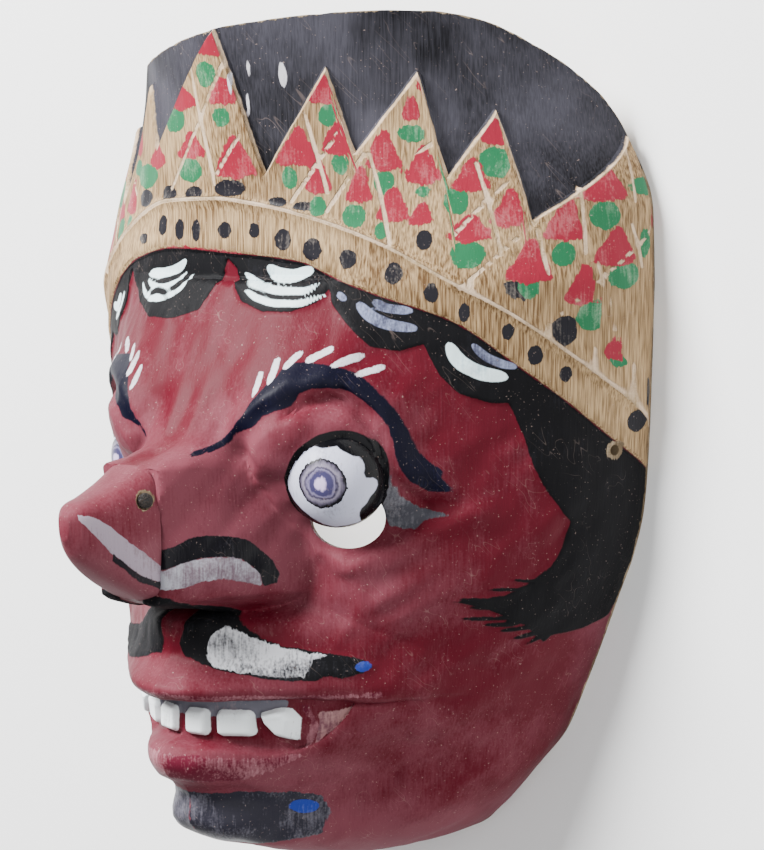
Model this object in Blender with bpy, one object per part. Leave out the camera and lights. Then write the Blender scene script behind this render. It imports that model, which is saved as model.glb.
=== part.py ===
"""A carved and painted wayang mask: an ogre face under a leaf crown, hollow behind.

It lies on its flat back rim. The face looks up along +Z, the crown points to +Y and the rim is at
Z = 0. Sizes are millimetres here and metres in the finished meshes. Heights, Y, are counted from
the level of the eyes while the face is carved, and the finished pieces are centred.
"""

import bpy
import numpy as np
from mathutils import Vector

MM = 0.001

# Driving sizes.
HEIGHT = 189.5  # chin to top of crown
WIDTH = 145.2  # across the back rim
WALL = 6.5  # thickness of the carved shell
GAP = 0.3  # clearance between the mask and the pieces fixed to it
SEAM_DEPTH = 88.0  # where the nose was cut off square for its nailed tip, above the rim
NOSE_REACH = 19.1  # length of the tip in front of that cut
EYE_DIAMETER = 21.6
EYE_SIDE = 30.3  # centre of an eyeball from the midline
EYE_LEVEL = 4.9
EYE_DEPTH = 57.0
FAR_EYE_SIDE = 28.0  # the other eye was set closer in and deeper
FAR_EYE_DEPTH = 49.5
EYE_BACK, FAR_EYE_BACK = -0.62, 0.1  # where each ball is cut flat behind, in radii from its middle
SLIT_WIDTH = 16.0  # the see-through gap below an eyeball
SLIT_HEIGHT = 13.0
SLIT_DROP = 8.6  # centre of the gap below the centre of the eyeball
SLIT_OUT = 2.5  # and further out
SLIT_TURN = 36.0  # degrees that the gap is cut outwards
SLIT_TILT = 8.0  # and upwards
STRAP_HOLE = 2.4
STRAP_LEVEL = 9.0
STRAP_DEPTH = 11.8
NAIL_HEAD = 3.2
NAIL_HEAD_THICKNESS = 0.8
NAIL_SHANK = 1.4
NAIL_LENGTH = 11.0
NAIL_PIT = 1.5  # how deep the head is sunk
NAIL_PLACE = (1.6, 3.9)  # height, and distance in front of the seam
NAIL_TURN = 38.0  # degrees from square, so that the nail runs back into the face
CUT_REACH = 50.0  # length of the cutters that pass right through the wall

# The free form is drawn for these two sizes and follows HEIGHT and WIDTH.
DRAWN_HEIGHT = 189.5
DRAWN_WIDTH = 145.2
LOWEST = -88.0  # chin, on the drawn form

# Rows of the mesh from the chin to the foot of the band: share from, share to, how many.
FACE_ROWS = ((0.0, 0.325, 8), (0.325, 0.475, 14), (0.475, 0.57, 6), (0.57, 0.75, 13), (0.75, 1.0, 8))
# Rows above that: foot of the band, band, its top edge, leaves, their edge, the field over them.
CROWN_ROWS = (1, 1, 2, 5, 1, 4)
COLUMNS = 58
INNER_ROWS = 20
INNER_COLUMNS = 24
EYE_RINGS = 12
EYE_SIDES = 22

# Rows below the crown, each from side to side over the face.
# Rim half width, rim height, midline height, midline depth, squareness.
LOWER_ROWS = (
    (32.0, -77.0, LOWEST, 0.0, 2.0),
    (38.5, -71.3, -87.5, 18.0, 2.0),
    (45.3, -64.0, -85.0, 36.0, 1.95),
    (51.0, -57.0, -78.0, 48.0, 1.85),
    (56.0, -46.0, -66.0, 52.0, 1.75),
    (60.5, -35.0, -50.0, 58.0, 1.75),
    (64.5, -24.5, -34.0, 61.0, 1.75),
    (68.3, -14.5, -20.0, 61.0, 1.8),
    (70.7, -4.0, -6.0, 59.5, 1.85),
    (71.6, 8.0, 8.0, 58.5, 1.9),
    (72.2, 26.0, 26.0, 57.0, 1.95),
    (72.6, 45.0, 45.0, 55.5, 2.0),
)
CROWN_FOOT = 45.0
# The crown, a half ring in plan: height, half width, depth, squareness.
CROWN_SECTIONS = (
    (45.0, 72.6, 55.5, 2.0),
    (60.0, 72.0, 55.5, 1.75),
    (75.0, 67.6, 57.5, 1.6),
    (88.0, 64.2, 59.5, 1.55),
    (101.0, 60.5, 62.0, 1.55),
)
# The worn top edge, by degrees round the half ring. It sinks early on the side away from the camera.
TOP_EDGE = (
    (-90, 78), (-80, 85.5), (-65, 90.5), (-50, 93), (-35, 94.3), (-21, 96), (-11, 97.2), (0, 98.2), (13, 99.4),
    (26, 100.7), (38, 101.5), (46, 101.5), (51, 101), (58, 98.8), (65, 94.6), (73, 89), (82, 80.5), (87, 72.5),
    (90, 65),
)

# Midline of the carved face from chin to nose, height and depth, and how it fades to the sides.
MIDLINE = (
    (-86, 36), (-83, 42), (-80.4, 51), (-78, 60), (-73.5, 69.4), (-70, 71.5), (-66, 71), (-63, 73),
    (-60, 77.5), (-56, 79.5), (-52.5, 77.5), (-51.5, 72.4), (-44, 72.4), (-43, 79.5), (-40.4, 81.8),
    (-37.7, 79.5), (-33, 76), (-24, 76.3),
)
MOUTH_FADE = ((0, 1), (8, 0.93), (16, 0.74), (26, 0.5), (34, 0.33), (44, 0.1), (52, 0))
MOUTH_HALF_WIDTH = ((-70, 27), (-62, 32), (-56, 40), (-49, 48), (-42, 52), (-35, 46), (-28, 36), (-22, 24))
CHIN_FADE = ((0, 1), (8, 0.87), (16, 0.42), (26, 0.08), (32, 0))
UPPER_LIP = ((0, -43), (12, -42.6), (24, -42.2), (34, -43.4))
LOWER_LIP = ((0, -52.4), (9, -53.4), (18, -55.2), (24, -53.4), (29, -48.5), (31.5, -44.6))
# Teeth, side to side from the midline, and the fang at each corner.
TEETH = ((-15.5, -8.2), (-7.0, -0.9), (1.8, 7.0), (7.6, 15.2))
TOOTH_HEIGHT = (-51.8, -44.8)
FANG = (
    (15.4, -45.6), (19.2, -44.2), (21.6, -44.3), (23.3, -47.0), (22.0, -53.2), (17.8, -52.0), (15.9, -48.5),
)

# The nose over its height: depth of the crest, half widths at the crest and at the cheek, hollowness.
NOSE = (
    (-26, 58, 2, 14, 0.6),
    (-24, 70, 3, 17, 0.5),
    (-21.5, 84, 4, 21, 0.4),
    (-19.5, 89, 5.5, 23.5, 0.35),
    (-14, 89.5, 7, 24.5, 0.35),
    (-8, 89.5, 7.2, 22.5, 0.5),
    (0, 89.5, 7.2, 18.5, 0.75),
    (7.6, 89.5, 6.5, 15.5, 0.8),
    (9.2, 84, 5.5, 14.5, 0.75),
    (10.6, 77.5, 4.5, 14, 0.7),
    (16, 72.6, 3, 13.5, 0.6),
    (24.4, 68, 3, 16, 0.6),
    (36, 62, 4, 22, 0.6),
    (45, 57.5, 4, 28, 0.6),
)
NOSE_CREST = 0.25  # how far the edge of the crest is rounded, as a share of the nose's side
BROW = (
    (9, 10.5), (14, 15), (18.5, 19.5), (25, 24.3), (31, 25.6), (36, 23.8), (40, 19.6), (42.6, 14), (44.3, 8),
    (48.3, 2.6),
)
LOWER_LID = ((20, -4), (26, -11), (33, -13.4), (40, -11), (46, -6.8), (53, -3.4))
# Soft mounds: height, centre and radii. Brow with eye socket, and cheek.
MOUNDS = ((13.5, (18, 18), (38, 33)), (5.0, (38, -22), (24, 22)))
FAR_SINK = (-4.5, (-36, 6), (30, 26))  # round the far eye the face was carved deeper
# Ridges along a line: height, half width.
RIDGES = ((2.6, 3.2, BROW), (2.6, 3.0, LOWER_LID))
LID_HEIGHT = 4.2
LID_RADIUS = 17.0  # foot of the lid, from the centre of the eyeball
LID_SLOPE = 5.5
LID_BOTTOM = (-6.0, 9.0)  # where the lid dies out, and over what height
TOOTH_RELIEF = 2.2
FANG_RELIEF = 3.0

# The crown's carving, along the surface from the midline and by height.
BAND_TOP = (
    (-101, 13), (-80, 30), (-60, 45), (-41, 56), (-20, 62.3), (-3, 62.7), (8, 61.4), (22, 58.1), (36, 53),
    (51, 45.1), (62, 39.4), (71, 33.7), (81, 27), (95, 17.7), (101, 13),
)
BAND_FOOT = (
    (-101, 5), (-88, 14), (-66, 31), (-50, 42), (-36, 49.5), (-18, 52.2), (0, 51.3), (18, 49.5), (25, 46.7),
    (35, 43), (52, 37), (66, 27.5), (75, 21.3), (88, 12), (101, 4),
)
# Tips and valleys of the leaves in turn, from the far temple to the near one.
LEAF_LINE = (
    (-104, 52), (-90, 70), (-77, 54), (-64, 80), (-50, 62), (-33, 88.5), (-27, 74), (1.5, 98.6), (10, 68),
    (25, 90), (30, 72), (44, 89), (49, 67), (60, 81), (67, 58), (97, 76), (104, 58),
)
LEAF_RELIEF = 1.5
BAND_RELIEF = 1.1
BAND_LIP = 0.6  # the thin ridge along the top of the band
RIM_FADE = 4.0  # the crown's carving dies out this close to the back rim
EDGE = 0.5  # half width of a carved step

# The nailed tip, by share of its reach: half width, top, height of the widest line, underside, squareness.
TIP = (
    (0.0, 8.8, 8.1, -11.5, -20.0, 3.6),
    (0.35, 7.8, 5.0, -8.5, -16.5, 3.0),
    (0.65, 6.0, 2.9, -4.6, -12.8, 2.8),
    (0.87, 3.8, 1.8, -1.6, -9.2, 2.5),
    (1.0, 1.4, -0.4, -1.8, -5.4, 2.2),
)
TIP_RINGS = 8
TIP_SIDES = 28


def ease(t):
    """0 to 1 with soft ends."""
    t = np.clip(t, 0.0, 1.0)
    return t * t * (3.0 - 2.0 * t)


def through(x, points):
    """A smooth curve through (x, y) points that never overshoots them."""
    xs, ys = np.array(points, float).T
    step = np.diff(xs)
    slope = np.diff(ys) / step
    tangent = np.concatenate([slope[:1], np.zeros(len(xs) - 2), slope[-1:]])
    for i in range(1, len(xs) - 1):
        if slope[i - 1] * slope[i] > 0:
            near, far = 2 * step[i] + step[i - 1], step[i] + 2 * step[i - 1]
            tangent[i] = (near + far) / (near / slope[i - 1] + far / slope[i])
    i = np.clip(np.searchsorted(xs, x) - 1, 0, len(step) - 1)
    t = np.clip((x - xs[i]) / step[i], 0.0, 1.0)
    ends = ys[i] * (1 + 2 * t) * (1 - t) ** 2 + ys[i + 1] * t * t * (3 - 2 * t)
    return ends + step[i] * (tangent[i] * t * (1 - t) ** 2 - tangent[i + 1] * t * t * (1 - t))


def columns(table, at):
    """The later columns of a table as smooth functions of its first one."""
    rows = np.array(table, float)
    return [through(at, rows[:, [0, c]]) for c in range(1, rows.shape[1])]


def left_of(points):
    """Unit normals of an open outline, on the left of its direction."""
    tangent = np.gradient(points, axis=0)
    tangent /= np.linalg.norm(tangent, axis=1, keepdims=True)
    return np.stack([-tangent[:, 1], tangent[:, 0]], 1)


def shell(across, up, inset=0.0):
    """The plain half shell: across runs -1 to 1, up runs 0 to 1 over the face and to 2 over the crown."""
    rows = np.array(LOWER_ROWS)
    rim = rows[:, 0:2] + inset * left_of(rows[:, 0:2])
    midline = rows[:, 2:4] + inset * left_of(rows[:, 3:1:-1])[:, ::-1]
    midline[0] = (rows[0, 2] + inset, 0.0)
    table = np.column_stack([np.linspace(0, 1, len(rows)), rim, midline, rows[:, 4]])
    angle = across * np.pi / 2

    half, rim_y, mid_y, mid_z, power = columns(table, np.clip(up, 0, 1))
    side = np.sign(angle) * np.abs(np.sin(angle)) ** (2 / power)
    front = np.abs(np.cos(angle)) ** (2 / power)
    face = np.stack([half * side, rim_y + (mid_y - rim_y) * front, mid_z * front], -1)

    y = CROWN_FOOT + (np.clip(up, 1, 2) - 1) * (through(across * 90, TOP_EDGE) - CROWN_FOOT)
    half, depth, power = columns(CROWN_SECTIONS, y)
    side = np.sign(angle) * np.abs(np.sin(angle)) ** (2 / power)
    front = np.abs(np.cos(angle)) ** (2 / power)
    crown = np.stack([(half - inset) * side, y, (depth - inset) * front], -1)
    return np.where(up[..., None] > 1, crown, face)


def outward(across, up):
    """Unit normals of the plain shell."""
    step = 0.01
    left, right = np.clip(across - step, -1, 1), np.clip(across + step, -1, 1)
    below, above = np.clip(up - step, 0, 2), np.clip(up + step, 0, 2)
    normal = np.cross(shell(right, up) - shell(left, up), shell(across, above) - shell(across, below))
    return normal / np.maximum(np.linalg.norm(normal, axis=-1, keepdims=True), 1e-9)


def along_shell(across, up):
    """How far a point lies from the midline, measured round the shell."""
    places, levels = np.linspace(-1, 1, 161), np.linspace(0, 2, 81)
    grid = shell(*np.meshgrid(places, levels))
    steps = np.linalg.norm(np.diff(grid, axis=1), axis=2)
    lengths = np.concatenate([np.zeros((len(levels), 1)), np.cumsum(steps, 1)], 1)
    lengths -= lengths[:, 80:81]
    row = np.clip(up * 40, 0, 80 - 1e-6)
    column = np.clip((across + 1) * 80, 0, 160 - 1e-6)
    i, j = row.astype(int), column.astype(int)
    u, v = row - i, column - j
    low = lengths[i, j] * (1 - v) + lengths[i, j + 1] * v
    high = lengths[i + 1, j] * (1 - v) + lengths[i + 1, j + 1] * v
    return low * (1 - u) + high * u


def mound(x, y, centre, radii):
    """1 at the centre of an oval, falling softly to 0 at its edge."""
    return ease(1 - np.hypot((x - centre[0]) / radii[0], (y - centre[1]) / radii[1]))


def off_line(x, y, points):
    """Distance from a broken line."""
    best = np.full(np.shape(x), 1e9)
    for (ax, ay), (bx, by) in zip(points[:-1], points[1:]):
        dx, dy = bx - ax, by - ay
        t = np.clip(((x - ax) * dx + (y - ay) * dy) / (dx * dx + dy * dy), 0, 1)
        best = np.minimum(best, np.hypot(x - ax - t * dx, y - ay - t * dy))
    return best


def inside(x, y, corners):
    """How far a point lies inside a convex outline, whichever way its corners run."""
    centre = np.mean(corners, axis=0)
    depth = np.full(np.shape(x), 1e9)
    for (ax, ay), (bx, by) in zip(corners, corners[1:] + corners[:1]):
        dx, dy = bx - ax, by - ay
        turn = np.sign(dx * (centre[1] - ay) - dy * (centre[0] - ax))
        depth = np.minimum(depth, turn * (dx * (y - ay) - dy * (x - ax)) / np.hypot(dx, dy))
    return depth


def soft_max(a, b, radius):
    """The larger of two heights, with a rounded corner between them."""
    share = np.clip(0.5 + 0.5 * (a - b) / radius, 0, 1)
    return b + (a - b) * share + radius * share * (1 - share)


def mouth(ax, y, z, plain):
    """Lips, teeth and chin over the shell's own depth z. plain is that depth at the midline."""
    upper, lower = through(ax, UPPER_LIP), through(ax, LOWER_LIP)
    shift = np.where(y > (upper + lower) / 2, upper - UPPER_LIP[0][1], lower - LOWER_LIP[0][1])
    profile = through(np.clip(y - shift, -86, -24), MIDLINE)
    reach = MOUTH_FADE[-1][0] / through(y, MOUTH_HALF_WIDTH)
    is_mouth = ease((y + 70) / 8)
    fade = through(ax * reach, MOUTH_FADE) * is_mouth * ease((-21 - y) / 6)
    fade = fade + through(ax, CHIN_FADE) * (1 - is_mouth) * ease((y - LOWEST - 0.5) / 4)
    return z + (profile - plain) * fade


def teeth(x, y):
    """How far the teeth stand out of the gum."""
    low, high = TOOTH_HEIGHT
    out = np.zeros(np.shape(x))
    for left, right in TEETH:
        middle, half = (left + right) / 2, (right - left) / 2
        edge = np.minimum(half - np.abs(x - middle), np.minimum(y - low, high - y))
        out = np.maximum(out, TOOTH_RELIEF * ease(edge / 1.5))
    for side in (-1, 1):
        out = np.maximum(out, FANG_RELIEF * ease(inside(side * x, y, list(FANG)) / 2.0))
    return out


def nose(ax, y, z):
    """The bridge, the cut stump and the wings, or far below the surface where there is no nose."""
    crest, flat, foot, hollow = columns(NOSE, y)
    t = np.clip((ax - flat) / (foot - flat), 0, 1)
    power, low = 0.75 - hollow / 2, NOSE_CREST**2
    fall = ((t * t + low) ** power - low**power) / ((1 + low) ** power - low**power)
    out = crest + (z - 1.0 - crest) * fall
    return np.where((ax < foot) & (y > NOSE[0][0]) & (y < NOSE[-1][0]), out, -1e3)


def face_depth(x, y, z):
    """Depth of the carved face where the plain shell has depth z."""
    ax = np.abs(x)
    plain = through(y, np.array(LOWER_ROWS)[:, 2:4])
    for height, centre, radii in MOUNDS:
        z = z + height * mound(ax, y, centre, radii)
    for height, width, line in RIDGES:
        z = z + height * np.exp(-((off_line(ax, y, line) / width) ** 2))
    height, centre, radii = FAR_SINK
    z = z + height * mound(x, y, centre, radii)
    around = np.hypot(ax - np.where(x < 0, FAR_EYE_SIDE, EYE_SIDE), y - EYE_LEVEL)
    bottom, over = LID_BOTTOM
    z = z + LID_HEIGHT * ease((LID_RADIUS - around) / LID_SLOPE) * ease((y - bottom) / over)
    z = mouth(ax, y, z, plain)
    open_mouth = (y < through(ax, UPPER_LIP)) & (y > through(ax, LOWER_LIP) - 2.5) & (ax < 31)
    z = z + np.where(open_mouth, teeth(x, y), 0)
    z = soft_max(nose(ax, y, z), z, 1.5)
    stump = (ax < NOSE[2][3]) & (y > NOSE[0][0]) & (y < NOSE[10][0])
    return np.where(stump, np.minimum(z, SEAM_DEPTH), z)


def leaf_edge(along):
    tips = np.array(LEAF_LINE, float)
    return np.interp(along, tips[:, 0], tips[:, 1])


def crown_relief(along, y):
    """How far the band and the leaves stand out of the crown's field."""
    top, foot = through(along, BAND_TOP), through(along, BAND_FOOT)
    band = ease(((y - foot) / EDGE + 1) / 2) * ease(((top - y) / EDGE + 1) / 2)
    under = np.where(y < leaf_edge(along), 1, -1) * off_line(along, y, LEAF_LINE)
    leaf = ease((under / EDGE + 1) / 2) * ease(((y - top) / EDGE + 1) / 2)
    lip = np.exp(-(((y - top) / 0.9) ** 2))
    return BAND_RELIEF * band + LEAF_RELIEF * leaf + BAND_LIP * lip


def real(points):
    """Drawn form to real millimetres, centred between chin and crown."""
    low, high = LOWEST, max(y for _, y in TOP_EDGE)
    x = points[..., 0] * (WIDTH / DRAWN_WIDTH)
    y = (points[..., 1] - (low + high) / 2) * (HEIGHT / DRAWN_HEIGHT)
    z = points[..., 2] * (HEIGHT / DRAWN_HEIGHT)
    return np.stack([x, y, z], -1)


def carved_lines(across):
    """For each column, the up value and the distance round the shell at each line of the crown's carving."""
    level = np.linspace(0.5, 2, 301)
    places, levels = np.meshgrid(across, level)
    along, y = along_shell(places, levels), shell(places, levels)[..., 1]
    slope = np.abs(leaf_edge(along + EDGE) - leaf_edge(along - EDGE)) / (2 * EDGE)
    leaf_step = EDGE * np.sqrt(1 + slope**2)
    lines = [through(along, BAND_FOOT) - EDGE, through(along, BAND_FOOT) + EDGE]
    lines += [through(along, BAND_TOP) - EDGE, through(along, BAND_TOP) + EDGE]
    lines += [leaf_edge(along) - leaf_step, leaf_edge(along) + leaf_step]
    found = []
    for line in lines:
        over = np.maximum.accumulate(y - line, axis=0)
        at = [np.interp(0, over[:, j], level) for j in range(len(across))]
        found.append(np.minimum(at, 1.97))
    return found


def column_places():
    """Columns packed towards the midline, with one through each tip and each valley of the leaves."""
    q = np.linspace(-1, 1, COLUMNS + 1)
    across = 0.75 * q + 0.25 * q**3
    fine = np.linspace(-1, 1, 321)
    lines = carved_lines(fine)
    met = along_shell(fine, (lines[4] + lines[5]) / 2)
    wanted = np.interp([along for along, _ in LEAF_LINE[1:-1]], met, fine)
    nearest = [int(np.argmin(np.abs(across - place))) for place in wanted]
    index = np.array([0, *nearest, COLUMNS])
    return np.interp(np.arange(COLUMNS + 1), index, [-1, *wanted, 1])


def outer_surface():
    """Rows and columns of points on the carved outside."""
    across = column_places()
    lines = carved_lines(across)
    share = np.concatenate([np.linspace(a, b, n, endpoint=False) for a, b, n in FACE_ROWS])
    rows = [t * lines[0] for t in share]
    for low, high, count in zip(lines, lines[1:] + [np.full(len(across), 2.0)], CROWN_ROWS):
        rows += [low + (high - low) * k / count for k in range(count)]
    up = np.array(rows + [np.full(len(across), 2.0)])
    across = np.broadcast_to(across, up.shape)
    out = shell(across, up)
    x, y, z = [out[..., k].copy() for k in range(3)]
    out[..., 2] = np.where(y < CROWN_FOOT + 1, face_depth(x, y, z), z)
    relief = crown_relief(along_shell(across, up), y) * ease(z / RIM_FADE)
    out += outward(across, up) * relief[..., None]
    out[:, 0, 2] = out[:, -1, 2] = out[0, :, 2] = 0.0
    out[..., 2] = np.maximum(out[..., 2], 0.0)
    return real(out)


def grid_faces(points, first, outside):
    """Triangles over a grid of points, split along the shorter diagonals, wound to face out or in."""
    faces = []
    height, width = points.shape[:2]
    rising = np.linalg.norm(points[1:, 1:] - points[:-1, :-1], axis=2)
    falling = np.linalg.norm(points[1:, :-1] - points[:-1, 1:], axis=2)
    for i in range(height - 1):
        for j in range(width - 1):
            a = first + i * width + j
            b, c, d = a + 1, a + width + 1, a + width
            pair = [(a, b, c), (a, c, d)] if rising[i, j] < falling[i, j] else [(a, b, d), (b, c, d)]
            faces += pair if outside else [face[::-1] for face in pair]
    return faces


def border(points, first):
    """The grid's edge loop, anticlockwise from its lower left corner, with a running place for each point."""
    rows, cols = points.shape[:2]
    index = first + np.arange(rows * cols).reshape(rows, cols)
    sides = [(index[0], points[0]), (index[:, -1], points[:, -1])]
    sides += [(index[-1, ::-1], points[-1, ::-1]), (index[::-1, 0], points[::-1, 0])]
    loop, place = [], []
    for number, (line, along) in enumerate(sides):
        length = np.concatenate([[0], np.cumsum(np.linalg.norm(np.diff(along, axis=0), axis=1))])
        loop += list(line[:-1])
        place += list(number + length[:-1] / length[-1])
    return loop + loop[:1], place + [4.0]


def zip_borders(outer_loop, inner_loop):
    """Triangles between two edge loops that have different numbers of points."""
    (a, pa), (b, pb) = outer_loop, inner_loop
    i = j = 0
    faces = []
    while i < len(a) - 1 or j < len(b) - 1:
        if j == len(b) - 1 or (i < len(a) - 1 and pa[i + 1] <= pb[j + 1]):
            faces.append((a[i + 1], a[i], b[j]))
            i += 1
        else:
            faces.append((a[i], b[j], b[j + 1]))
            j += 1
    return faces


def paint(name, colour, roughness, metallic=0.0):
    material = bpy.data.materials.new(name)
    material.use_nodes = True
    shader = material.node_tree.nodes["Principled BSDF"]
    shader.inputs["Base Color"].default_value = (*colour, 1.0)
    shader.inputs["Roughness"].default_value = roughness
    shader.inputs["Metallic"].default_value = metallic
    return material


def add_object(name, points, faces, material=None):
    """A mesh object from points in millimetres. A shape with no material is a cutter or a helper."""
    mesh = bpy.data.meshes.new(name)
    mesh.from_pydata([Vector(p) * MM for p in np.asarray(points, float).reshape(-1, 3).tolist()], [], faces)
    mesh.validate()
    obj = bpy.data.objects.new(name, mesh)
    bpy.context.scene.collection.objects.link(obj)
    if material:
        mesh.materials.append(material)
        mesh.shade_smooth()
        mesh.set_sharp_from_angle(angle=np.radians(40))
    else:
        obj.hide_render = True
        obj.display_type = "WIRE"
    return obj


def combine(obj, other, operation):
    modifier = obj.modifiers.new(f"{operation.lower()} {other.name}", "BOOLEAN")
    modifier.operation = operation
    modifier.object = other
    modifier.solver = "EXACT"


def prism(name, start, axis, length, radii, sides=20, material=None):
    """A closed round or oval bar from start along axis. The first radius lies in the XZ plane."""
    axis = Vector(axis).normalized()
    across = Vector((0, 1, 0)).cross(axis).normalized()
    upward = axis.cross(across)
    turns = np.linspace(0, 2 * np.pi, sides, endpoint=False)
    ring = [across * (radii[0] * np.cos(t)) + upward * (radii[1] * np.sin(t)) for t in turns]
    points = [Vector(start) + p for p in ring] + [Vector(start) + axis * length + p for p in ring]
    faces = [tuple(range(sides))[::-1], tuple(range(sides, 2 * sides))]
    faces += [(k, (k + 1) % sides, sides + (k + 1) % sides, sides + k) for k in range(sides)]
    return add_object(name, points, faces, material)


def skin(rings, count, closed_ends=True):
    """Faces over rings of count points each, one after the other."""
    faces = []
    for i in range(rings - 1):
        a, b = i * count, (i + 1) * count
        faces += [(a + k, a + (k + 1) % count, b + (k + 1) % count, b + k) for k in range(count)]
    if closed_ends:
        faces += [tuple(range(count))[::-1], tuple(range((rings - 1) * count, rings * count))]
    return faces


def eyeball(side):
    """The carved ball, flattened behind where it sinks into the wood."""
    radius = EYE_DIAMETER / 2
    near = (EYE_SIDE, EYE_DEPTH, EYE_BACK)
    across, depth, back = near if side > 0 else (FAR_EYE_SIDE, FAR_EYE_DEPTH, FAR_EYE_BACK)
    points = []
    for turn in np.linspace(np.pi, 0, EYE_RINGS + 1)[1:-1]:
        flat = radius * max(np.cos(turn), back)
        for t in np.linspace(0, 2 * np.pi, EYE_SIDES, endpoint=False):
            points.append((radius * np.sin(turn) * np.cos(t), radius * np.sin(turn) * np.sin(t), flat))
    faces = skin(EYE_RINGS - 1, EYE_SIDES, False) + [tuple(range(EYE_SIDES))[::-1]]
    last = (EYE_RINGS - 2) * EYE_SIDES
    points.append((0, 0, radius))
    faces += [(last + k, last + (k + 1) % EYE_SIDES, len(points) - 1) for k in range(EYE_SIDES)]
    centre = real(np.array([side * across, EYE_LEVEL, depth]))
    return add_object(f"eyeball {side}", np.array(points) + centre, faces)


def tip_points():
    """Rings of the nose tip, from the seam forwards."""
    rings = []
    for share in np.linspace(0, 1, TIP_RINGS) ** 0.8:
        half, top, widest, low, power = [float(value) for value in columns(TIP, share)]
        for t in np.linspace(0, 2 * np.pi, TIP_SIDES, endpoint=False):
            x = half * np.sign(np.cos(t)) * abs(np.cos(t)) ** (2 / power)
            rise = abs(np.sin(t)) ** (2 / power)
            y = widest + (top - widest) * rise if np.sin(t) > 0 else widest - (widest - low) * rise
            rings.append((x, y, SEAM_DEPTH + share * NOSE_REACH))
    return np.array(rings)


def nose_tip(material):
    points = real(tip_points()) + (0, 0, GAP)
    return add_object("nose_tip", points, skin(TIP_RINGS, TIP_SIDES), material)


def mask(material):
    outside = outer_surface()
    q = np.linspace(-1, 1, INNER_COLUMNS + 1)
    up = np.linspace(0, 2, INNER_ROWS + 1)
    across, up = np.meshgrid(q, up)
    hollow = real(shell(across, up, WALL * DRAWN_HEIGHT / HEIGHT))
    hollow[:, 0, 2] = hollow[:, -1, 2] = hollow[0, :, 2] = 0.0
    points = np.concatenate([outside.reshape(-1, 3), hollow.reshape(-1, 3)])
    first = outside.shape[0] * outside.shape[1]
    faces = grid_faces(outside, 0, True) + grid_faces(hollow, first, False)
    faces += zip_borders(border(outside, 0), border(hollow, first))
    return add_object("mask", points, faces, material)


def main():
    for obj in list(bpy.data.objects):
        bpy.data.objects.remove(obj)
    crimson = paint("crimson oil paint on wood", (0.20, 0.018, 0.028), 0.35)
    rose = paint("worn rose paint on wood", (0.36, 0.07, 0.08), 0.45)
    iron = paint("old iron", (0.06, 0.05, 0.045), 0.6, 0.8)

    body = mask(crimson)
    tip = nose_tip(rose)
    turn, tilt = np.radians(SLIT_TURN), np.radians(SLIT_TILT)
    slit_radii = (SLIT_WIDTH / 2, SLIT_HEIGHT / 2)
    for side in (-1, 1):
        axis = Vector((side * np.sin(turn) * np.cos(tilt), np.sin(tilt), np.cos(turn) * np.cos(tilt)))
        centre = real(np.array([side * (EYE_SIDE + SLIT_OUT), EYE_LEVEL - SLIT_DROP, EYE_DEPTH]))
        start = Vector(centre.tolist()) - axis * CUT_REACH / 2
        combine(body, prism(f"eye slit {side}", start, axis, CUT_REACH, slit_radii), "DIFFERENCE")
    for side in (-1, 1):
        combine(body, eyeball(side), "UNION")
        start = real(np.array([side * WIDTH / 3, STRAP_LEVEL, STRAP_DEPTH])).tolist()
        hole = prism(f"strap hole {side}", start, (side, 0, 0), CUT_REACH, (STRAP_HOLE / 2,) * 2, 12)
        combine(body, hole, "DIFFERENCE")

    turn = np.radians(NAIL_TURN)
    outwards = Vector((np.cos(turn), 0, np.sin(turn)))
    level, ahead = NAIL_PLACE
    place = Vector(real(np.array([TIP[0][1] - 0.5, level, SEAM_DEPTH + ahead])).tolist())
    foot = place - outwards * NAIL_PIT
    pit = prism("nail pit", foot, outwards, CUT_REACH / 8, (NAIL_HEAD / 2 + GAP,) * 2, 14)
    foot = place - outwards * (NAIL_LENGTH + GAP)
    bore = prism("nail bore", foot, outwards, NAIL_LENGTH + GAP, (NAIL_SHANK / 2 + GAP,) * 2, 10)
    combine(tip, pit, "DIFFERENCE")
    combine(tip, bore, "DIFFERENCE")
    combine(body, bore, "DIFFERENCE")

    under_head = place - outwards * (NAIL_PIT - GAP)
    nail = prism("nose_nail", under_head, outwards, NAIL_HEAD_THICKNESS, (NAIL_HEAD / 2,) * 2, 14, iron)
    foot = place - outwards * NAIL_LENGTH
    into_head = NAIL_LENGTH - NAIL_PIT + GAP + NAIL_HEAD_THICKNESS / 2
    combine(nail, prism("nail shank", foot, outwards, into_head, (NAIL_SHANK / 2,) * 2, 10), "UNION")


main()
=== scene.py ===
# %% [markdown]
# # A carved and painted wayang mask
# The mask is one block of wood, carved outside and hollowed inside, with the front of its long nose nailed on as
# a second piece. A CAD model gives the same form in ten thousand triangles. Here the form is computed again from
# the same drawing, finely enough for the chisel's edges, and every coat of paint is drawn on it.
# Millimetres are used while drawing, metres in Blender.

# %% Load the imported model
import bpy
import numpy as np
from mathutils import Matrix, Vector, kdtree


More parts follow.
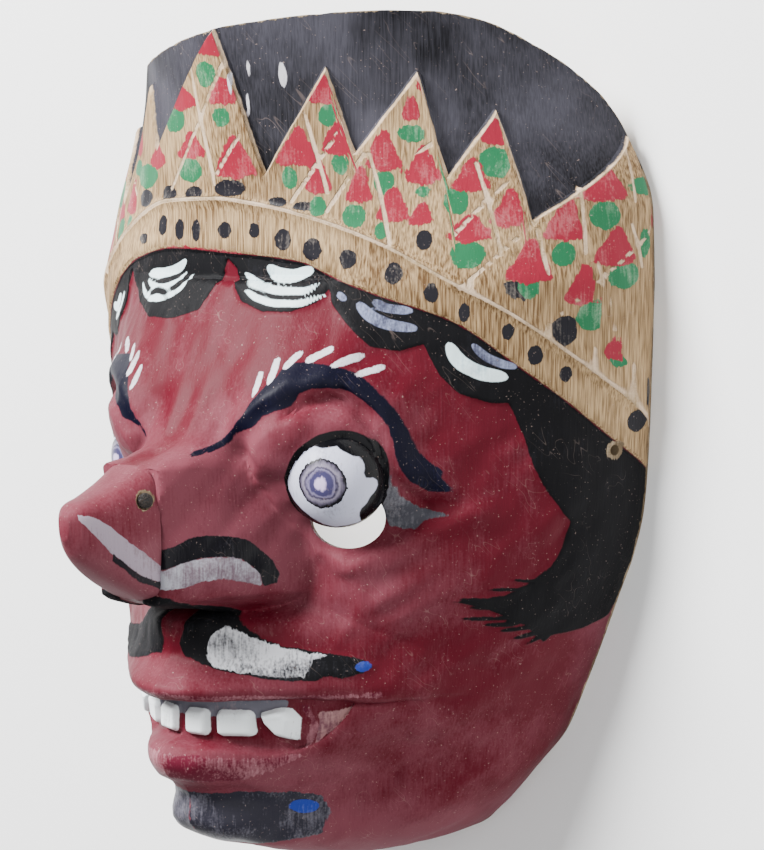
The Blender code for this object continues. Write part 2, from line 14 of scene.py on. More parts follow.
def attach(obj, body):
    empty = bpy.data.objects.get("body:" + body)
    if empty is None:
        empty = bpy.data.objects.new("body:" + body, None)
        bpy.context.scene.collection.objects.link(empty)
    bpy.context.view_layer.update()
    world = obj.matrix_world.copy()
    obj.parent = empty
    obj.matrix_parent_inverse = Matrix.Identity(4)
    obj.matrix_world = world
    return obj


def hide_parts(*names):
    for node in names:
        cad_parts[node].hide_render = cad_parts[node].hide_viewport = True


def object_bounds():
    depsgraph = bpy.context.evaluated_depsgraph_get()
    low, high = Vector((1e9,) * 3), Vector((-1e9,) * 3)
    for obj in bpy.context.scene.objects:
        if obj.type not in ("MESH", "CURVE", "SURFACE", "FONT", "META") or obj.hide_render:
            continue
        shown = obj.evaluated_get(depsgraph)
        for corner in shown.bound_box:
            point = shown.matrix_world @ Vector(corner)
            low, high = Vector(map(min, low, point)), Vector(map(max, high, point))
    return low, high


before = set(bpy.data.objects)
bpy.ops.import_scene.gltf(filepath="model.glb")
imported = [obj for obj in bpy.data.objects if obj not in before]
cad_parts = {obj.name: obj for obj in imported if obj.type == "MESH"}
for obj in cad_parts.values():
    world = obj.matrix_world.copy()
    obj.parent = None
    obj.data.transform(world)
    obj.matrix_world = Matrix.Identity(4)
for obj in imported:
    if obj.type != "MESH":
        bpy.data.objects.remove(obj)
cad_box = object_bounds()
MM = 0.001
print("nodes:", sorted(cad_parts), "box:", cad_box)

# %% [markdown]
# ## The drawing
# A carver works from a few measured lines: the rim, the midline, the crown's edge. Each is a short list of points
# here and a smooth curve is drawn through them. Heights, y, count from the level of the eyes, x from the midline
# towards the side that the camera sees, and z from the plane of the back rim.

# %% Sizes of the mask
WIDTH, WALL = 145.2, 6.5
SEAM_DEPTH, NOSE_REACH, GAP = 88.0, 19.1, 0.3
EYE_DIAMETER, EYE_SIDE, EYE_LEVEL, EYE_DEPTH = 21.6, 30.3, 4.9, 57.0
FAR_EYE_SIDE, FAR_EYE_DEPTH = 28.0, 49.5
EYE_BACK, FAR_EYE_BACK = -0.62, 0.1
SLIT_WIDTH, SLIT_HEIGHT, SLIT_DROP, SLIT_OUT, SLIT_TURN, SLIT_TILT = 16.0, 13.0, 8.6, 2.5, 36.0, 8.0
STRAP_HOLE, STRAP_LEVEL, STRAP_DEPTH = 2.4, 9.0, 11.8
NAIL_HEAD, NAIL_HEAD_THICKNESS, NAIL_SHANK, NAIL_LENGTH, NAIL_PIT = 3.2, 0.8, 1.4, 11.0, 1.5
NAIL_PLACE, NAIL_TURN = (1.6, 3.9), 38.0
LOWEST, HIGHEST = -88.0, 101.5
CUT_REACH = 50.0

# Rows of the shell below the crown: rim half width, rim height, midline height, midline depth, squareness.
LOWER_ROWS = (
    (32.0, -77.0, LOWEST, 0.0, 2.0),
    (38.5, -71.3, -87.5, 18.0, 2.0),
    (45.3, -64.0, -85.0, 36.0, 1.95),
    (51.0, -57.0, -78.0, 48.0, 1.85),
    (56.0, -46.0, -66.0, 52.0, 1.75),
    (60.5, -35.0, -50.0, 58.0, 1.75),
    (64.5, -24.5, -34.0, 61.0, 1.75),
    (68.3, -14.5, -20.0, 61.0, 1.8),
    (70.7, -4.0, -6.0, 59.5, 1.85),
    (71.6, 8.0, 8.0, 58.5, 1.9),
    (72.2, 26.0, 26.0, 57.0, 1.95),
    (72.6, 45.0, 45.0, 55.5, 2.0),
)
CROWN_FOOT = 45.0
# The crown, a half ring in plan: height, half width, depth, squareness.
CROWN_SECTIONS = (
    (45.0, 72.6, 55.5, 2.0),
    (60.0, 72.0, 55.5, 1.75),
    (75.0, 67.6, 57.5, 1.6),
    (88.0, 64.2, 59.5, 1.55),
    (101.0, 60.5, 62.0, 1.55),
)
# The worn top edge, by degrees round the half ring.
TOP_EDGE = (
    (-90, 78), (-80, 85.5), (-65, 90.5), (-50, 93), (-35, 94.3), (-21, 96), (-11, 97.2), (0, 98.2), (13, 99.4),
    (26, 100.7), (38, 101.5), (46, 101.5), (51, 101), (58, 98.8), (65, 94.6), (73, 89), (82, 80.5), (87, 72.5),
    (90, 65),
)

# %% Lines of the face
MIDLINE = (
    (-86, 36), (-83, 42), (-80.4, 51), (-78, 60), (-73.5, 69.4), (-70, 71.5), (-66, 71), (-63, 73),
    (-60, 77.5), (-56, 79.5), (-52.5, 77.5), (-51.5, 72.4), (-44, 72.4), (-43, 79.5), (-40.4, 81.8),
    (-37.7, 79.5), (-33, 76), (-24, 76.3),
)
MOUTH_FADE = ((0, 1), (8, 0.93), (16, 0.74), (26, 0.5), (34, 0.33), (44, 0.1), (52, 0))
MOUTH_HALF_WIDTH = ((-70, 27), (-62, 32), (-56, 40), (-49, 48), (-42, 52), (-35, 46), (-28, 36), (-22, 24))
CHIN_FADE = ((0, 1), (8, 0.87), (16, 0.42), (26, 0.08), (32, 0))
UPPER_LIP = ((0, -43), (12, -42.6), (24, -42.2), (34, -43.4))
LOWER_LIP = ((0, -52.4), (9, -53.4), (18, -55.2), (24, -53.4), (29, -48.5), (31.5, -44.6))
TEETH = ((-15.8, -8.0), (-7.7, -0.5), (0.6, 7.2), (7.6, 15.6))
TOOTH_HEIGHT = (-51.8, -44.8)
FANG = ((15.4, -45.6), (19.2, -44.2), (21.6, -44.3), (23.3, -47.0), (22.0, -53.2), (17.8, -52.0), (15.9, -48.5))
# The nose over its height: depth of the crest, half widths at the crest and at the cheek, hollowness.
NOSE = (
    (-26, 58, 2, 14, 0.6), (-24, 70, 3, 17, 0.5), (-21.5, 84, 4, 21, 0.4), (-19.5, 89, 5.5, 23.5, 0.35),
    (-14, 89.5, 7, 24.5, 0.35), (-8, 89.5, 7.2, 22.5, 0.5), (0, 89.5, 7.2, 18.5, 0.75),
    (7.6, 89.5, 6.5, 15.5, 0.8), (9.2, 84, 5.5, 14.5, 0.75), (10.6, 77.5, 4.5, 14, 0.7), (16, 72.6, 3, 13.5, 0.6),
    (24.4, 68, 3, 16, 0.6), (36, 62, 4, 22, 0.6), (45, 57.5, 4, 28, 0.6),
)
NOSE_CREST = 0.25
BROW = (
    (9, 10.5), (14, 15), (18.5, 19.5), (25, 24.3), (31, 25.6), (36, 23.8), (40, 19.6), (42.6, 14),
    (44.3, 8), (48.3, 2.6),
)
LOWER_LID = ((20, -4), (26, -11), (33, -13.4), (40, -11), (46, -6.8), (53, -3.4))
MOUNDS = ((13.5, (18, 18), (38, 33)), (5.0, (38, -22), (24, 22)))
FAR_SINK = (-4.5, (-36, 6), (30, 26))  # the far side was carved less deep round its eye
RIDGES = ((2.6, 3.2, BROW), (2.6, 3.0, LOWER_LID))
LID_HEIGHT, LID_RADIUS, LID_SLOPE, LID_BOTTOM = 4.2, 17.0, 5.5, (-6.0, 9.0)
TOOTH_RELIEF, FANG_RELIEF = 2.2, 3.0

# %% Lines of the crown, by distance round the shell and by height
BAND_TOP = (
    (-101, 13), (-80, 30), (-60, 45), (-41, 56), (-20, 62.3), (-3, 62.7), (8, 61.4), (22, 58.1), (36, 53),
    (51, 45.1), (62, 39.4), (71, 33.7), (81, 27), (95, 17.7), (101, 13),
)
BAND_FOOT = (
    (-101, 5), (-88, 14), (-66, 31), (-50, 42), (-36, 49.5), (-18, 52.2), (0, 51.3), (18, 49.5), (25, 46.7),
    (35, 43), (52, 37), (66, 27.5), (75, 21.3), (88, 12), (101, 4),
)
LEAF_LINE = (
    (-104, 52), (-90, 70), (-77, 54), (-64, 80), (-50, 62), (-33, 88.5), (-27, 74), (1.5, 98.6), (10, 68),
    (25, 90), (30, 72), (44, 89), (49, 67), (60, 81), (67, 58), (97, 76), (104, 58),
)
LEAF_RELIEF, BAND_RELIEF, BAND_LIP, RIM_FADE, EDGE = 1.5, 1.1, 0.6, 4.0, 0.5
# The nailed tip, by share of its reach: half width, top, height of the widest line, underside, squareness.
TIP = (
    (0.0, 8.8, 8.1, -11.5, -20.0, 3.6),
    (0.35, 7.8, 5.0, -8.5, -16.5, 3.0),
    (0.65, 6.0, 2.9, -4.6, -12.8, 2.8),
    (0.87, 3.8, 1.8, -1.6, -9.2, 2.5),
    (1.0, 1.4, -0.4, -1.8, -5.4, 2.2),
)

# %% [markdown]
# ## Curves
# A smooth curve through a few points must not overshoot them, or a lip drawn beside a tooth would bulge. The
# monotone cubic used here stays between its points.

# %% Curve helpers
def ease(t):
    """0 to 1 with soft ends."""
    t = np.clip(t, 0.0, 1.0)
    return t * t * (3.0 - 2.0 * t)


def through(x, points):
    """A smooth curve through (x, y) points that never overshoots them."""
    xs, ys = np.array(points, float).T
    step = np.diff(xs)
    slope = np.diff(ys) / step
    tangent = np.concatenate([slope[:1], np.zeros(len(xs) - 2), slope[-1:]])
    for i in range(1, len(xs) - 1):
        if slope[i - 1] * slope[i] > 0:
            near, far = 2 * step[i] + step[i - 1], step[i] + 2 * step[i - 1]
            tangent[i] = (near + far) / (near / slope[i - 1] + far / slope[i])
    i = np.clip(np.searchsorted(xs, x) - 1, 0, len(step) - 1)
    t = np.clip((x - xs[i]) / step[i], 0.0, 1.0)
    ends = ys[i] * (1 + 2 * t) * (1 - t) ** 2 + ys[i + 1] * t * t * (3 - 2 * t)
    return ends + step[i] * (tangent[i] * t * (1 - t) ** 2 - tangent[i + 1] * t * t * (1 - t))


def columns(table, at):
    """The later columns of a table as smooth functions of its first one."""
    rows = np.array(table, float)
    return [through(at, rows[:, [0, c]]) for c in range(1, rows.shape[1])]


def left_of(points):
    """Unit normals of an open outline, on the left of its direction."""
    tangent = np.gradient(points, axis=0)
    tangent /= np.linalg.norm(tangent, axis=1, keepdims=True)
    return np.stack([-tangent[:, 1], tangent[:, 0]], 1)


def off_line(x, y, points):
    """Distance from a broken line."""
    best = np.full(np.shape(x), 1e9)
    for (ax, ay), (bx, by) in zip(points[:-1], points[1:]):
        dx, dy = bx - ax, by - ay
        t = np.clip(((x - ax) * dx + (y - ay) * dy) / max(dx * dx + dy * dy, 1e-9), 0, 1)
        best = np.minimum(best, np.hypot(x - ax - t * dx, y - ay - t * dy))
    return best


def inside(x, y, corners):
    """How far a point lies inside a closed outline of any shape, below zero outside it."""
    loop = list(corners) + [corners[0]]
    turns = np.zeros(np.shape(x), bool)
    for (ax, ay), (bx, by) in zip(loop[:-1], loop[1:]):
        if ay != by:
            turns ^= ((ay > y) != (by > y)) & (x < (bx - ax) * (y - ay) / (by - ay) + ax)
    return np.where(turns, 1, -1) * off_line(x, y, loop)


def soft_max(a, b, radius):
    """The larger of two heights, with a rounded corner between them."""
    share = np.clip(0.5 + 0.5 * (a - b) / radius, 0, 1)
    return b + (a - b) * share + radius * share * (1 - share)


def value_noise(x, y, seed):
    """Smooth seeded noise of -1 to 1, one bump to each unit."""
    table = np.random.default_rng(seed).uniform(-1, 1, (256, 256))
    i, j = np.floor(x).astype(int), np.floor(y).astype(int)
    u, v = ease(x - i), ease(y - j)
    corner = [[table[(i + a) % 256, (j + b) % 256] for b in (0, 1)] for a in (0, 1)]
    low = corner[0][0] * (1 - u) + corner[1][0] * u
    high = corner[0][1] * (1 - u) + corner[1][1] * u
    return low * (1 - v) + high * v


# %% [markdown]
# ## The shell
# Under the carving lies a plain half shell, open behind and above. Two numbers place a point on it: one runs from
# side to side, one from the chin over the face and up the crown. A third, the inset, gives the hollow inside.

# %% The plain shell
def shell(across, up, inset=0.0):
    """across runs -1 to 1, up runs 0 to 1 over the face and to 2 over the crown."""
    rows = np.array(LOWER_ROWS)
    rim = rows[:, 0:2] + inset * left_of(rows[:, 0:2])
    midline = rows[:, 2:4] + inset * left_of(rows[:, 3:1:-1])[:, ::-1]
    midline[0] = (rows[0, 2] + inset, 0.0)
    table = np.column_stack([np.linspace(0, 1, len(rows)), rim, midline, rows[:, 4]])
    angle = across * np.pi / 2

    half, rim_y, mid_y, mid_z, power = columns(table, np.clip(up, 0, 1))
    side = np.sign(angle) * np.abs(np.sin(angle)) ** (2 / power)
    front = np.abs(np.cos(angle)) ** (2 / power)
    face = np.stack([half * side, rim_y + (mid_y - rim_y) * front, mid_z * front], -1)

    y = CROWN_FOOT + (np.clip(up, 1, 2) - 1) * (through(across * 90, TOP_EDGE) - CROWN_FOOT)
    half, depth, power = columns(CROWN_SECTIONS, y)
    side = np.sign(angle) * np.abs(np.sin(angle)) ** (2 / power)
    front = np.abs(np.cos(angle)) ** (2 / power)
    crown = np.stack([(half - inset) * side, y, (depth - inset) * front], -1)
    return np.where(up[..., None] > 1, crown, face)


def outward(across, up):
    """Unit normals of the plain shell."""
    step = 0.01
    left, right = np.clip(across - step, -1, 1), np.clip(across + step, -1, 1)
    below, above = np.clip(up - step, 0, 2), np.clip(up + step, 0, 2)
    normal = np.cross(shell(right, up) - shell(left, up), shell(across, above) - shell(across, below))
    return normal / np.maximum(np.linalg.norm(normal, axis=-1, keepdims=True), 1e-9)


def along_shell(across, up):
    """How far a point lies from the midline, measured round the shell."""
    places, levels = np.linspace(-1, 1, 161), np.linspace(0, 2, 81)
    grid = shell(*np.meshgrid(places, levels))
    steps = np.linalg.norm(np.diff(grid, axis=1), axis=2)
    lengths = np.concatenate([np.zeros((len(levels), 1)), np.cumsum(steps, 1)], 1)
    lengths -= lengths[:, 80:81]
    row = np.clip(up * 40, 0, 80 - 1e-6)
    column = np.clip((across + 1) * 80, 0, 160 - 1e-6)
    i, j = row.astype(int), column.astype(int)
    u, v = row - i, column - j
    low = lengths[i, j] * (1 - v) + lengths[i, j + 1] * v
    high = lengths[i + 1, j] * (1 - v) + lengths[i + 1, j + 1] * v
    return low * (1 - u) + high * u


# %% [markdown]
# ## The face
# The nose, lips, teeth, brows and lids are added to the shell as depths over (x, y), the way a carver leaves wood
# standing and cuts round it. The nose ends in a square cut at the seam, where its tip is nailed on.

# %% Mouth, nose and brows
def mound(x, y, centre, radii):
    """1 at the centre of an oval, falling softly to 0 at its edge."""
    return ease(1 - np.hypot((x - centre[0]) / radii[0], (y - centre[1]) / radii[1]))


def mouth(ax, y, z, plain):
    """Lips, teeth and chin over the shell's own depth z. plain is that depth at the midline."""
    upper, lower = through(ax, UPPER_LIP), through(ax, LOWER_LIP)
    shift = np.where(y > (upper + lower) / 2, upper - UPPER_LIP[0][1], lower - LOWER_LIP[0][1])
    profile = through(np.clip(y - shift, -86, -24), MIDLINE)
    reach = MOUTH_FADE[-1][0] / through(y, MOUTH_HALF_WIDTH)
    is_mouth = ease((y + 70) / 8)
    fade = through(ax * reach, MOUTH_FADE) * is_mouth * ease((-21 - y) / 6)
    fade = fade + through(ax, CHIN_FADE) * (1 - is_mouth) * ease((y - LOWEST - 0.5) / 4)
    return z + (profile - plain) * fade


def teeth(x, y):
    """How far the teeth stand out of the gum."""
    low, high = TOOTH_HEIGHT
    out = np.zeros(np.shape(x))
    for left, right in TEETH:
        middle, half = (left + right) / 2, (right - left) / 2
        over_x = np.maximum(np.abs(x - middle) - half + 1.8, 0)
        over_y = np.maximum(np.abs(y - (low + high) / 2) - (high - low) / 2 + 1.8, 0)
        out = np.maximum(out, TOOTH_RELIEF * ease((1.8 - np.hypot(over_x, over_y)) / 1.5))
    for side in (-1, 1):
        out = np.maximum(out, FANG_RELIEF * ease(inside(side * x, y, FANG) / 2.0))
    return out


def nose(ax, y, z):
    """The bridge, the cut stump and the wings, or far below the surface where there is no nose."""
    crest, flat, foot, hollow = columns(NOSE, y)
    t = np.clip((ax - flat) / (foot - flat), 0, 1)
    power, low = 0.75 - hollow / 2, NOSE_CREST**2
    fall = ((t * t + low) ** power - low**power) / ((1 + low) ** power - low**power)
    out = crest + (z - 1.0 - crest) * fall
    return np.where((ax < foot) & (y > NOSE[0][0]) & (y < NOSE[-1][0]), out, -1e3)


def face_depth(x, y, z):
    """Depth of the carved face where the plain shell has depth z."""
    ax = np.abs(x)
    plain = through(y, np.array(LOWER_ROWS)[:, 2:4])
    for height, centre, radii in MOUNDS:
        z = z + height * mound(ax, y, centre, radii)
    for height, width, line in RIDGES:
        z = z + height * np.exp(-((off_line(ax, y, line) / width) ** 2))
    height, centre, radii = FAR_SINK
    z = z + height * mound(x, y, centre, radii)
    around = np.hypot(ax - np.where(x < 0, FAR_EYE_SIDE, EYE_SIDE), y - EYE_LEVEL)
    bottom, over = LID_BOTTOM
    z = z + LID_HEIGHT * ease((LID_RADIUS - around) / LID_SLOPE) * ease((y - bottom) / over)
    z = mouth(ax, y, z, plain)
    open_mouth = (y < through(ax, UPPER_LIP)) & (y > through(ax, LOWER_LIP) - 2.5) & (ax < 31)
    z = z + np.where(open_mouth, teeth(x, y), 0)
    z = soft_max(nose(ax, y, z), z, 1.5)
    stump = (ax < NOSE[2][3]) & (y > NOSE[0][0]) & (y < NOSE[10][0])
    return np.where(stump, np.minimum(z, SEAM_DEPTH), z)


# %% The crown's band and leaves
def leaf_edge(along):
    """Height of the leaves' edge, straight from tip to valley."""
    tips = np.array(LEAF_LINE, float)
    return np.interp(along, tips[:, 0], tips[:, 1])


def crown_relief(along, y):
    """How far the band and the leaves stand out of the crown's field."""
    top, foot = through(along, BAND_TOP), through(along, BAND_FOOT)
    band = ease(((y - foot) / EDGE + 1) / 2) * ease(((top - y) / EDGE + 1) / 2)
    under = np.where(y < leaf_edge(along), 1, -1) * off_line(along, y, LEAF_LINE)
    leaf = ease((under / EDGE + 1) / 2) * ease(((y - top) / EDGE + 1) / 2)
    lip = np.exp(-(((y - top) / 0.9) ** 2))
    return BAND_RELIEF * band + LEAF_RELIEF * leaf + BAND_LIP * lip


def carved_lines(across):
    """For each column, the up value at each line of the crown's carving."""
    level = np.linspace(0.5, 2, 301)
    places, levels = np.meshgrid(across, level)
    along, y = along_shell(places, levels), shell(places, levels)[..., 1]
    slope = np.abs(leaf_edge(along + EDGE) - leaf_edge(along - EDGE)) / (2 * EDGE)
    leaf_step = EDGE * np.sqrt(1 + slope**2)
    foot, top = through(along, BAND_FOOT), through(along, BAND_TOP)
    lines = [foot - EDGE, foot + EDGE, top - EDGE, top + EDGE]
    lines += [leaf_edge(along) - leaf_step, leaf_edge(along) + leaf_step]
    found = []
    for line in lines:
        over = np.maximum.accumulate(y - line, axis=0)
        at = [np.interp(0, over[:, j], level) for j in range(len(across))]
        found.append(np.minimum(at, 1.97))
    return found


print("drawn from chin to crown:", HIGHEST - LOWEST, "mm")

# %% [markdown]
# ## A fine skin
# The carved outside is a grid of points: columns run from chin to crown, and rows are set exactly on the edges of
# the band and the leaves, so that each carved step stays crisp. Relief too low for the CAD model is added along
# the surface's own normals: the thickness of the hair, the moustache and the folds of the lids.

# %% Rows and columns
FACE_ROWS = (
    (0.0, 0.325, 30), (0.325, 0.475, 62), (0.475, 0.57, 24), (0.57, 0.75, 60), (0.75, 0.88, 20),
    (0.88, 1.0, 36),
)
CROWN_ROWS = (2, 5, 2, 24, 2, 14)
COLUMNS = 300


def column_places():
    """Columns packed towards the midline, with one through each tip and each valley of the leaves."""
    q = np.linspace(-1, 1, COLUMNS + 1)
    across = 0.75 * q + 0.25 * q**3
    fine = np.linspace(-1, 1, 321)
    lines = carved_lines(fine)
    met = along_shell(fine, (lines[4] + lines[5]) / 2)
    wanted = np.interp([along for along, _ in LEAF_LINE[1:-1]], met, fine)
    nearest = [int(np.argmin(np.abs(across - place))) for place in wanted]
    index = np.array([0, *nearest, COLUMNS])
    return np.interp(np.arange(COLUMNS + 1), index, [-1, *wanted, 1])


def grid_normals(points):
    """Unit normals of a grid of points, which face out of the mask."""
    normal = np.cross(np.gradient(points, axis=1), np.gradient(points, axis=0))
    return normal / np.maximum(np.linalg.norm(normal, axis=-1, keepdims=True), 1e-9)


# %% [markdown]
# ## Where the paint goes
# The painter's marks are kept as short lists: outlines, strokes and dabs. On the crown and the hair a mark is
# placed by its distance round the mask and its height, on the face by its distance from the midline and its
# height. The near side's marks come from the photograph. The far side repeats them, a little shifted, since a
# hand never paints the same thing twice.

# %% Hair, from the foot of the band down to its lobes
HAIR_LINE = (
    (-80, 20), (-68, 20), (-63, 22), (-60, 26), (-57, 31.5), (-53, 31), (-47, 32), (-42, 37), (-39.5, 42),
    (-38.5, 47), (-36, 44.5), (-30, 40), (-21, 37), (-12, 37), (-5, 39), (-2.6, 44), (-1, 50), (1.5, 48),
    (3, 44), (6, 41), (12, 39), (19, 39), (24, 41), (26, 44), (27, 41), (31, 37), (37, 32), (42, 31), (46.5, 32.5),
    (47.2, 31), (50, 26), (54, 22), (60, 20), (66, 20), (80, 20),
)
SIDEBURN = (
    (62, 36), (64, 20), (65, 18), (67, 14), (70, 6), (73, 1), (77, -4), (79, -6), (78, -10), (77, -13), (75, -16),
    (71, -19), (65, -21.5), (55, -22), (61, -24), (65, -26), (66, -28), (69, -28), (72, -31), (74, -33), (76, -31.5),
    (84, -31), (93, -29), (97, -24), (125, -22), (125, 16), (88, 14), (75, 24), (66, 33),
)
# Arcs taper to both ends. Each is its greatest half width and its points.
MINT = (
    (1.15, (-28, 46.4), (-23.5, 46.4), (-19.7, 46.8), (-16.7, 47.7), (-14, 49.4)),
    (0.75, (-31, 44.6), (-27.6, 42.1), (-21.5, 40.9), (-16.5, 41.5), (-12.9, 43.4), (-11, 46.6)),
    (0.65, (-27.5, 45), (-24, 43.8), (-19.8, 43.5), (-15.5, 44.9), (-13.8, 47)),
    (1.45, (10.2, 48.2), (13.5, 46.6), (16.5, 46.4), (21, 47.8)),
    (0.85, (3.9, 46.9), (8.6, 44.7), (12.1, 43.8), (16.4, 43.3), (20.2, 43.3), (24, 45)),
    (0.75, (6, 43.6), (10.4, 41.6), (14.8, 40.8), (19.7, 40.7), (26, 42.8)),
    (1.45, (51, 32.6), (53, 29.4), (55.6, 27.4), (58.5, 26.2), (63.4, 25.4)),
    (1.1, (-45, 41), (-49, 38), (-53, 38)), (0.7, (-42, 42), (-46, 37), (-51, 35)),
    (1.2, (-61, 31), (-65, 27), (-69, 25)),
)
LAVENDER = (
    (1.1, (32.4, 41), (35.9, 38.1), (39.3, 36.6), (44.8, 35.6)), (0.9, (35.4, 41.4), (38.5, 39.9), (43.4, 39.3)),
    (0.9, (55.8, 32.4), (58.9, 29.7), (61.5, 28.5), (65.4, 27.5)), (0.6, (28, 42.9), (29.8, 41.6)),
)
SIDEBURN_HAIRS = (
    (0.5, (56, -21.5), (64, -22.4), (72, -21.4)), (0.6, (58, -23.6), (65, -24), (73, -23)),
    (0.5, (56.6, -26), (64.4, -26.5), (72, -25.6)), (0.5, (61, -27.8), (66, -28), (73, -26.5)),
    (0.5, (64, -29.4), (71.7, -28.9), (76, -27)), (0.6, (67, -31.4), (73, -30.4), (80, -28)),
    (0.5, (69.5, -33), (76, -30.6), (84, -28)), (0.4, (62, -19.8), (68, -20.2), (73, -18.5)),
    (0.4, (67, -18), (71, -18.6), (75, -16)),
)
print("hair: two lobes are measured on the far side of the midline and three on the near side")

# %% Brow, lid, eye corner and dashes, by distance from the midline
BROW_PAINT = (
    (10.5, 11.0), (12.0, 13.6), (14.5, 15.9), (16.1, 17.7), (17, 20), (18.5, 22.1), (19.5, 24.1),
    (21.4, 25.6), (21.7, 27.6), (23.6, 28.8), (26.4, 28.9), (29.4, 28.5), (32.7, 27.9), (35.2, 26.5),
    (37.8, 24.4), (40, 21.8), (41.7, 19.4), (42.8, 16.8), (43.9, 13.9), (45.1, 9.8), (46.5, 8.1),
    (48.4, 6.2), (48.2, 4.8), (49.8, 1.6), (47.6, 1.5), (45.6, 1.8), (44.4, 3.9), (43.4, 6.4),
    (42.8, 9.1), (42.4, 11.7), (41.6, 14.7), (40.3, 17.3), (38.8, 19.1), (37, 21.2), (35, 22.7),
    (33, 23.5), (30.8, 23.8), (28.9, 23.6), (26.9, 22.7), (25.5, 20), (23.2, 19.1), (20.5, 17.9),
    (18.6, 15.6), (15.5, 14.5), (13.6, 13.6),
)
BROW_TAIL = ((0.75, (7.4, 9.2), (10.2, 11.2), (13.6, 13.9)),)  # it shows on the near side alone
DASHES = (
    (0.75, (17.5, 21.8), (17, 26.8)), (0.9, (20.3, 24.4), (19.8, 29.6)), (0.8, (22.1, 27.6), (24.2, 31)),
    (0.85, (26, 29.1), (29.8, 31.8)), (0.85, (31.3, 28.2), (34.8, 30.4)), (0.8, (35.2, 26.5), (38.4, 27.8)),
)
LID_FOLDS = (
    ((34.1, 23.3), (36.3, 20.6), (38.9, 17.6), (40.6, 14.7), (41.7, 11.7), (42.2, 8.3), (42.4, 5), (43, 2.2),
     (43.8, 0.2), (44.8, -2)),
    ((25.3, 18.5), (28.7, 20.6), (31.6, 21.5), (33.8, 20.9), (36.3, 19.1), (38.8, 16.2), (40.8, 12.2), (41.1, 9.6)),
)
CORNER_GREY = (
    (38.4, 7), (41.1, 8.3), (41.4, 5.7), (41.8, 3.1), (42.3, 0.2), (43.4, -2.1), (46.9, -3), (48.9, -3.4),
    (46.6, -3.9), (44.3, -4.4), (43.6, -6.3), (40.4, -6.1), (38.2, -5.6), (37.6, -2),
)
# The white of the eye as seen along the line that looks at it, in mm from the centre of the ball.
EYE_WHITE = (
    (-8.6, 7.2), (-7.6, 6.7), (-6.5, 6.8), (-5.4, 6.5), (-4.4, 6.2), (-3.1, 5.8), (-1.5, 5.9), (-0.5, 6.3), (0, 6.3),
    (0.5, 5.7), (1.5, 5.0), (2.4, 4.7), (3.7, 3.9), (4.7, 4.2), (5.5, 2.9), (5.8, 2.0), (5.5, 0.7), (6.0, -0.5),
    (7.3, -0.2), (8.3, -0.8), (8.4, -1.8), (7.8, -3.1), (6.8, -4.2), (6.0, -5.7), (5.0, -6.5), (4.5, -7.8),
    (4.9, -9.4), (2.1, -10.2), (-0.5, -10.5), (-3.1, -9.9), (-5.2, -8.6), (-7.3, -6.9), (-9.0, -5.0), (-10.2, -2.6),
    (-10.5, 0), (-10.4, 2.0), (-10.2, 3.6), (-9.9, 4.7), (-9.4, 5.0), (-9.1, 6.2),
)
EYE_FRONT = (0.6115, 0.1167, 0.7826)
GAZE = (0.342, -0.035, 0.939)
IRIS_RADIUS = 5.3

# %% Nose, moustache, lips, teeth and chin
# The wing is steep, so its marks are outlines in height and depth: (z, y).
WING_BLACK = (
    (89, -10.6), (88, -8.8), (86.3, -8.2), (82.7, -6.6), (79.9, -6.4), (75.4, -6.8), (71.5, -7.9),
    (68.5, -10.1), (66.1, -13.1), (64.7, -15.4), (64.9, -17.6), (67.9, -18.3), (69.1, -15.5),
    (70.8, -13.5), (73.2, -11.8), (77.4, -11), (81.3, -11), (84.7, -11.7), (87.4, -12.6), (89, -13.4),
)
WING_WHITE = (
    (89.6, -12.9), (89, -13.4), (87.4, -12.6), (84.7, -11.7), (81.3, -11), (77.4, -11), (73.2, -11.8),
    (70.8, -13.5), (69.1, -15.5), (68.1, -18), (72.4, -16.8), (76.7, -15.5), (81.5, -15.8), (84.6, -16.9),
    (87.1, -17.3), (89.6, -16.4),
)
MOUSTACHE = (
    (3.4, -18), (9.8, -19), (10.2, -22), (12.6, -25.4), (15.1, -27.8), (17.6, -29.8), (21, -31.2),
    (25.7, -32.2), (28.9, -32.8), (32.7, -33.4), (34.2, -34.3), (35.8, -35.8), (34, -37.2), (31.5, -38),
    (29.2, -37.4), (27.5, -38.4), (23.8, -38.4), (19.2, -37.8), (16.2, -37), (12.4, -36.3), (8.7, -35.2),
    (5.8, -34.2), (3.3, -33.6), (2.2, -31), (3.2, -28.1), (3, -23),
)
# Painted highlight: a pale silver patch on the black moustache, where light glints on its gloss.
MOUSTACHE_HIGHLIGHT = (
    (8.9, -29), (11.5, -27), (15.5, -29.1), (18.8, -30.6), (24.4, -32.4), (29, -33), (26.5, -34.2),
    (25.8, -37.7), (20.4, -37.4), (15.4, -36.6), (10.2, -35.3), (8, -33.3),
)
MOUTH_CORNER = ((25.0, -46.4), (31.6, -44.9), (27.6, -49.6), (23.6, -53.2), (25.0, -49.2))
LOWER_LIP_PAINT = (
    (0, -54.6), (6.7, -54.6), (11.6, -55.4), (16.5, -56), (20.5, -55.4), (22.5, -55.6), (19, -57.6),
    (16.6, -59.2), (12.9, -60.6), (8.7, -61), (4, -61), (0, -60.6),
)
# Painted shade, in the lip's dark crimson: a line along the upper lip's lower edge, and a stroke beside the fang.
UPPER_LIP_SHADE = ((0, -41.4), (11.9, -41.7), (17.8, -41.6), (23.1, -42.3), (29.2, -42.1), (36.4, -42.1))
FANG_SHADE = (0.55, (23.2, -44.8), (24.2, -48.4), (22.6, -53.6))
CHIN_PATCH = ((0, -64.5), (12, -64.4), (18, -65), (20.5, -66.5), (20.8, -71), (19.5, -75.5), (12, -77), (0, -77.5))
GUM = (20.6, -47.2, -43.2)  # half width, foot and top
TOOTH_PAINT = 0.7  # a tooth is painted where it stands out by more than this
BLUE_DABS = ((34.4, -35.7, 1.1, 1.1), (17.6, -68.8, 2.0, 1.7))
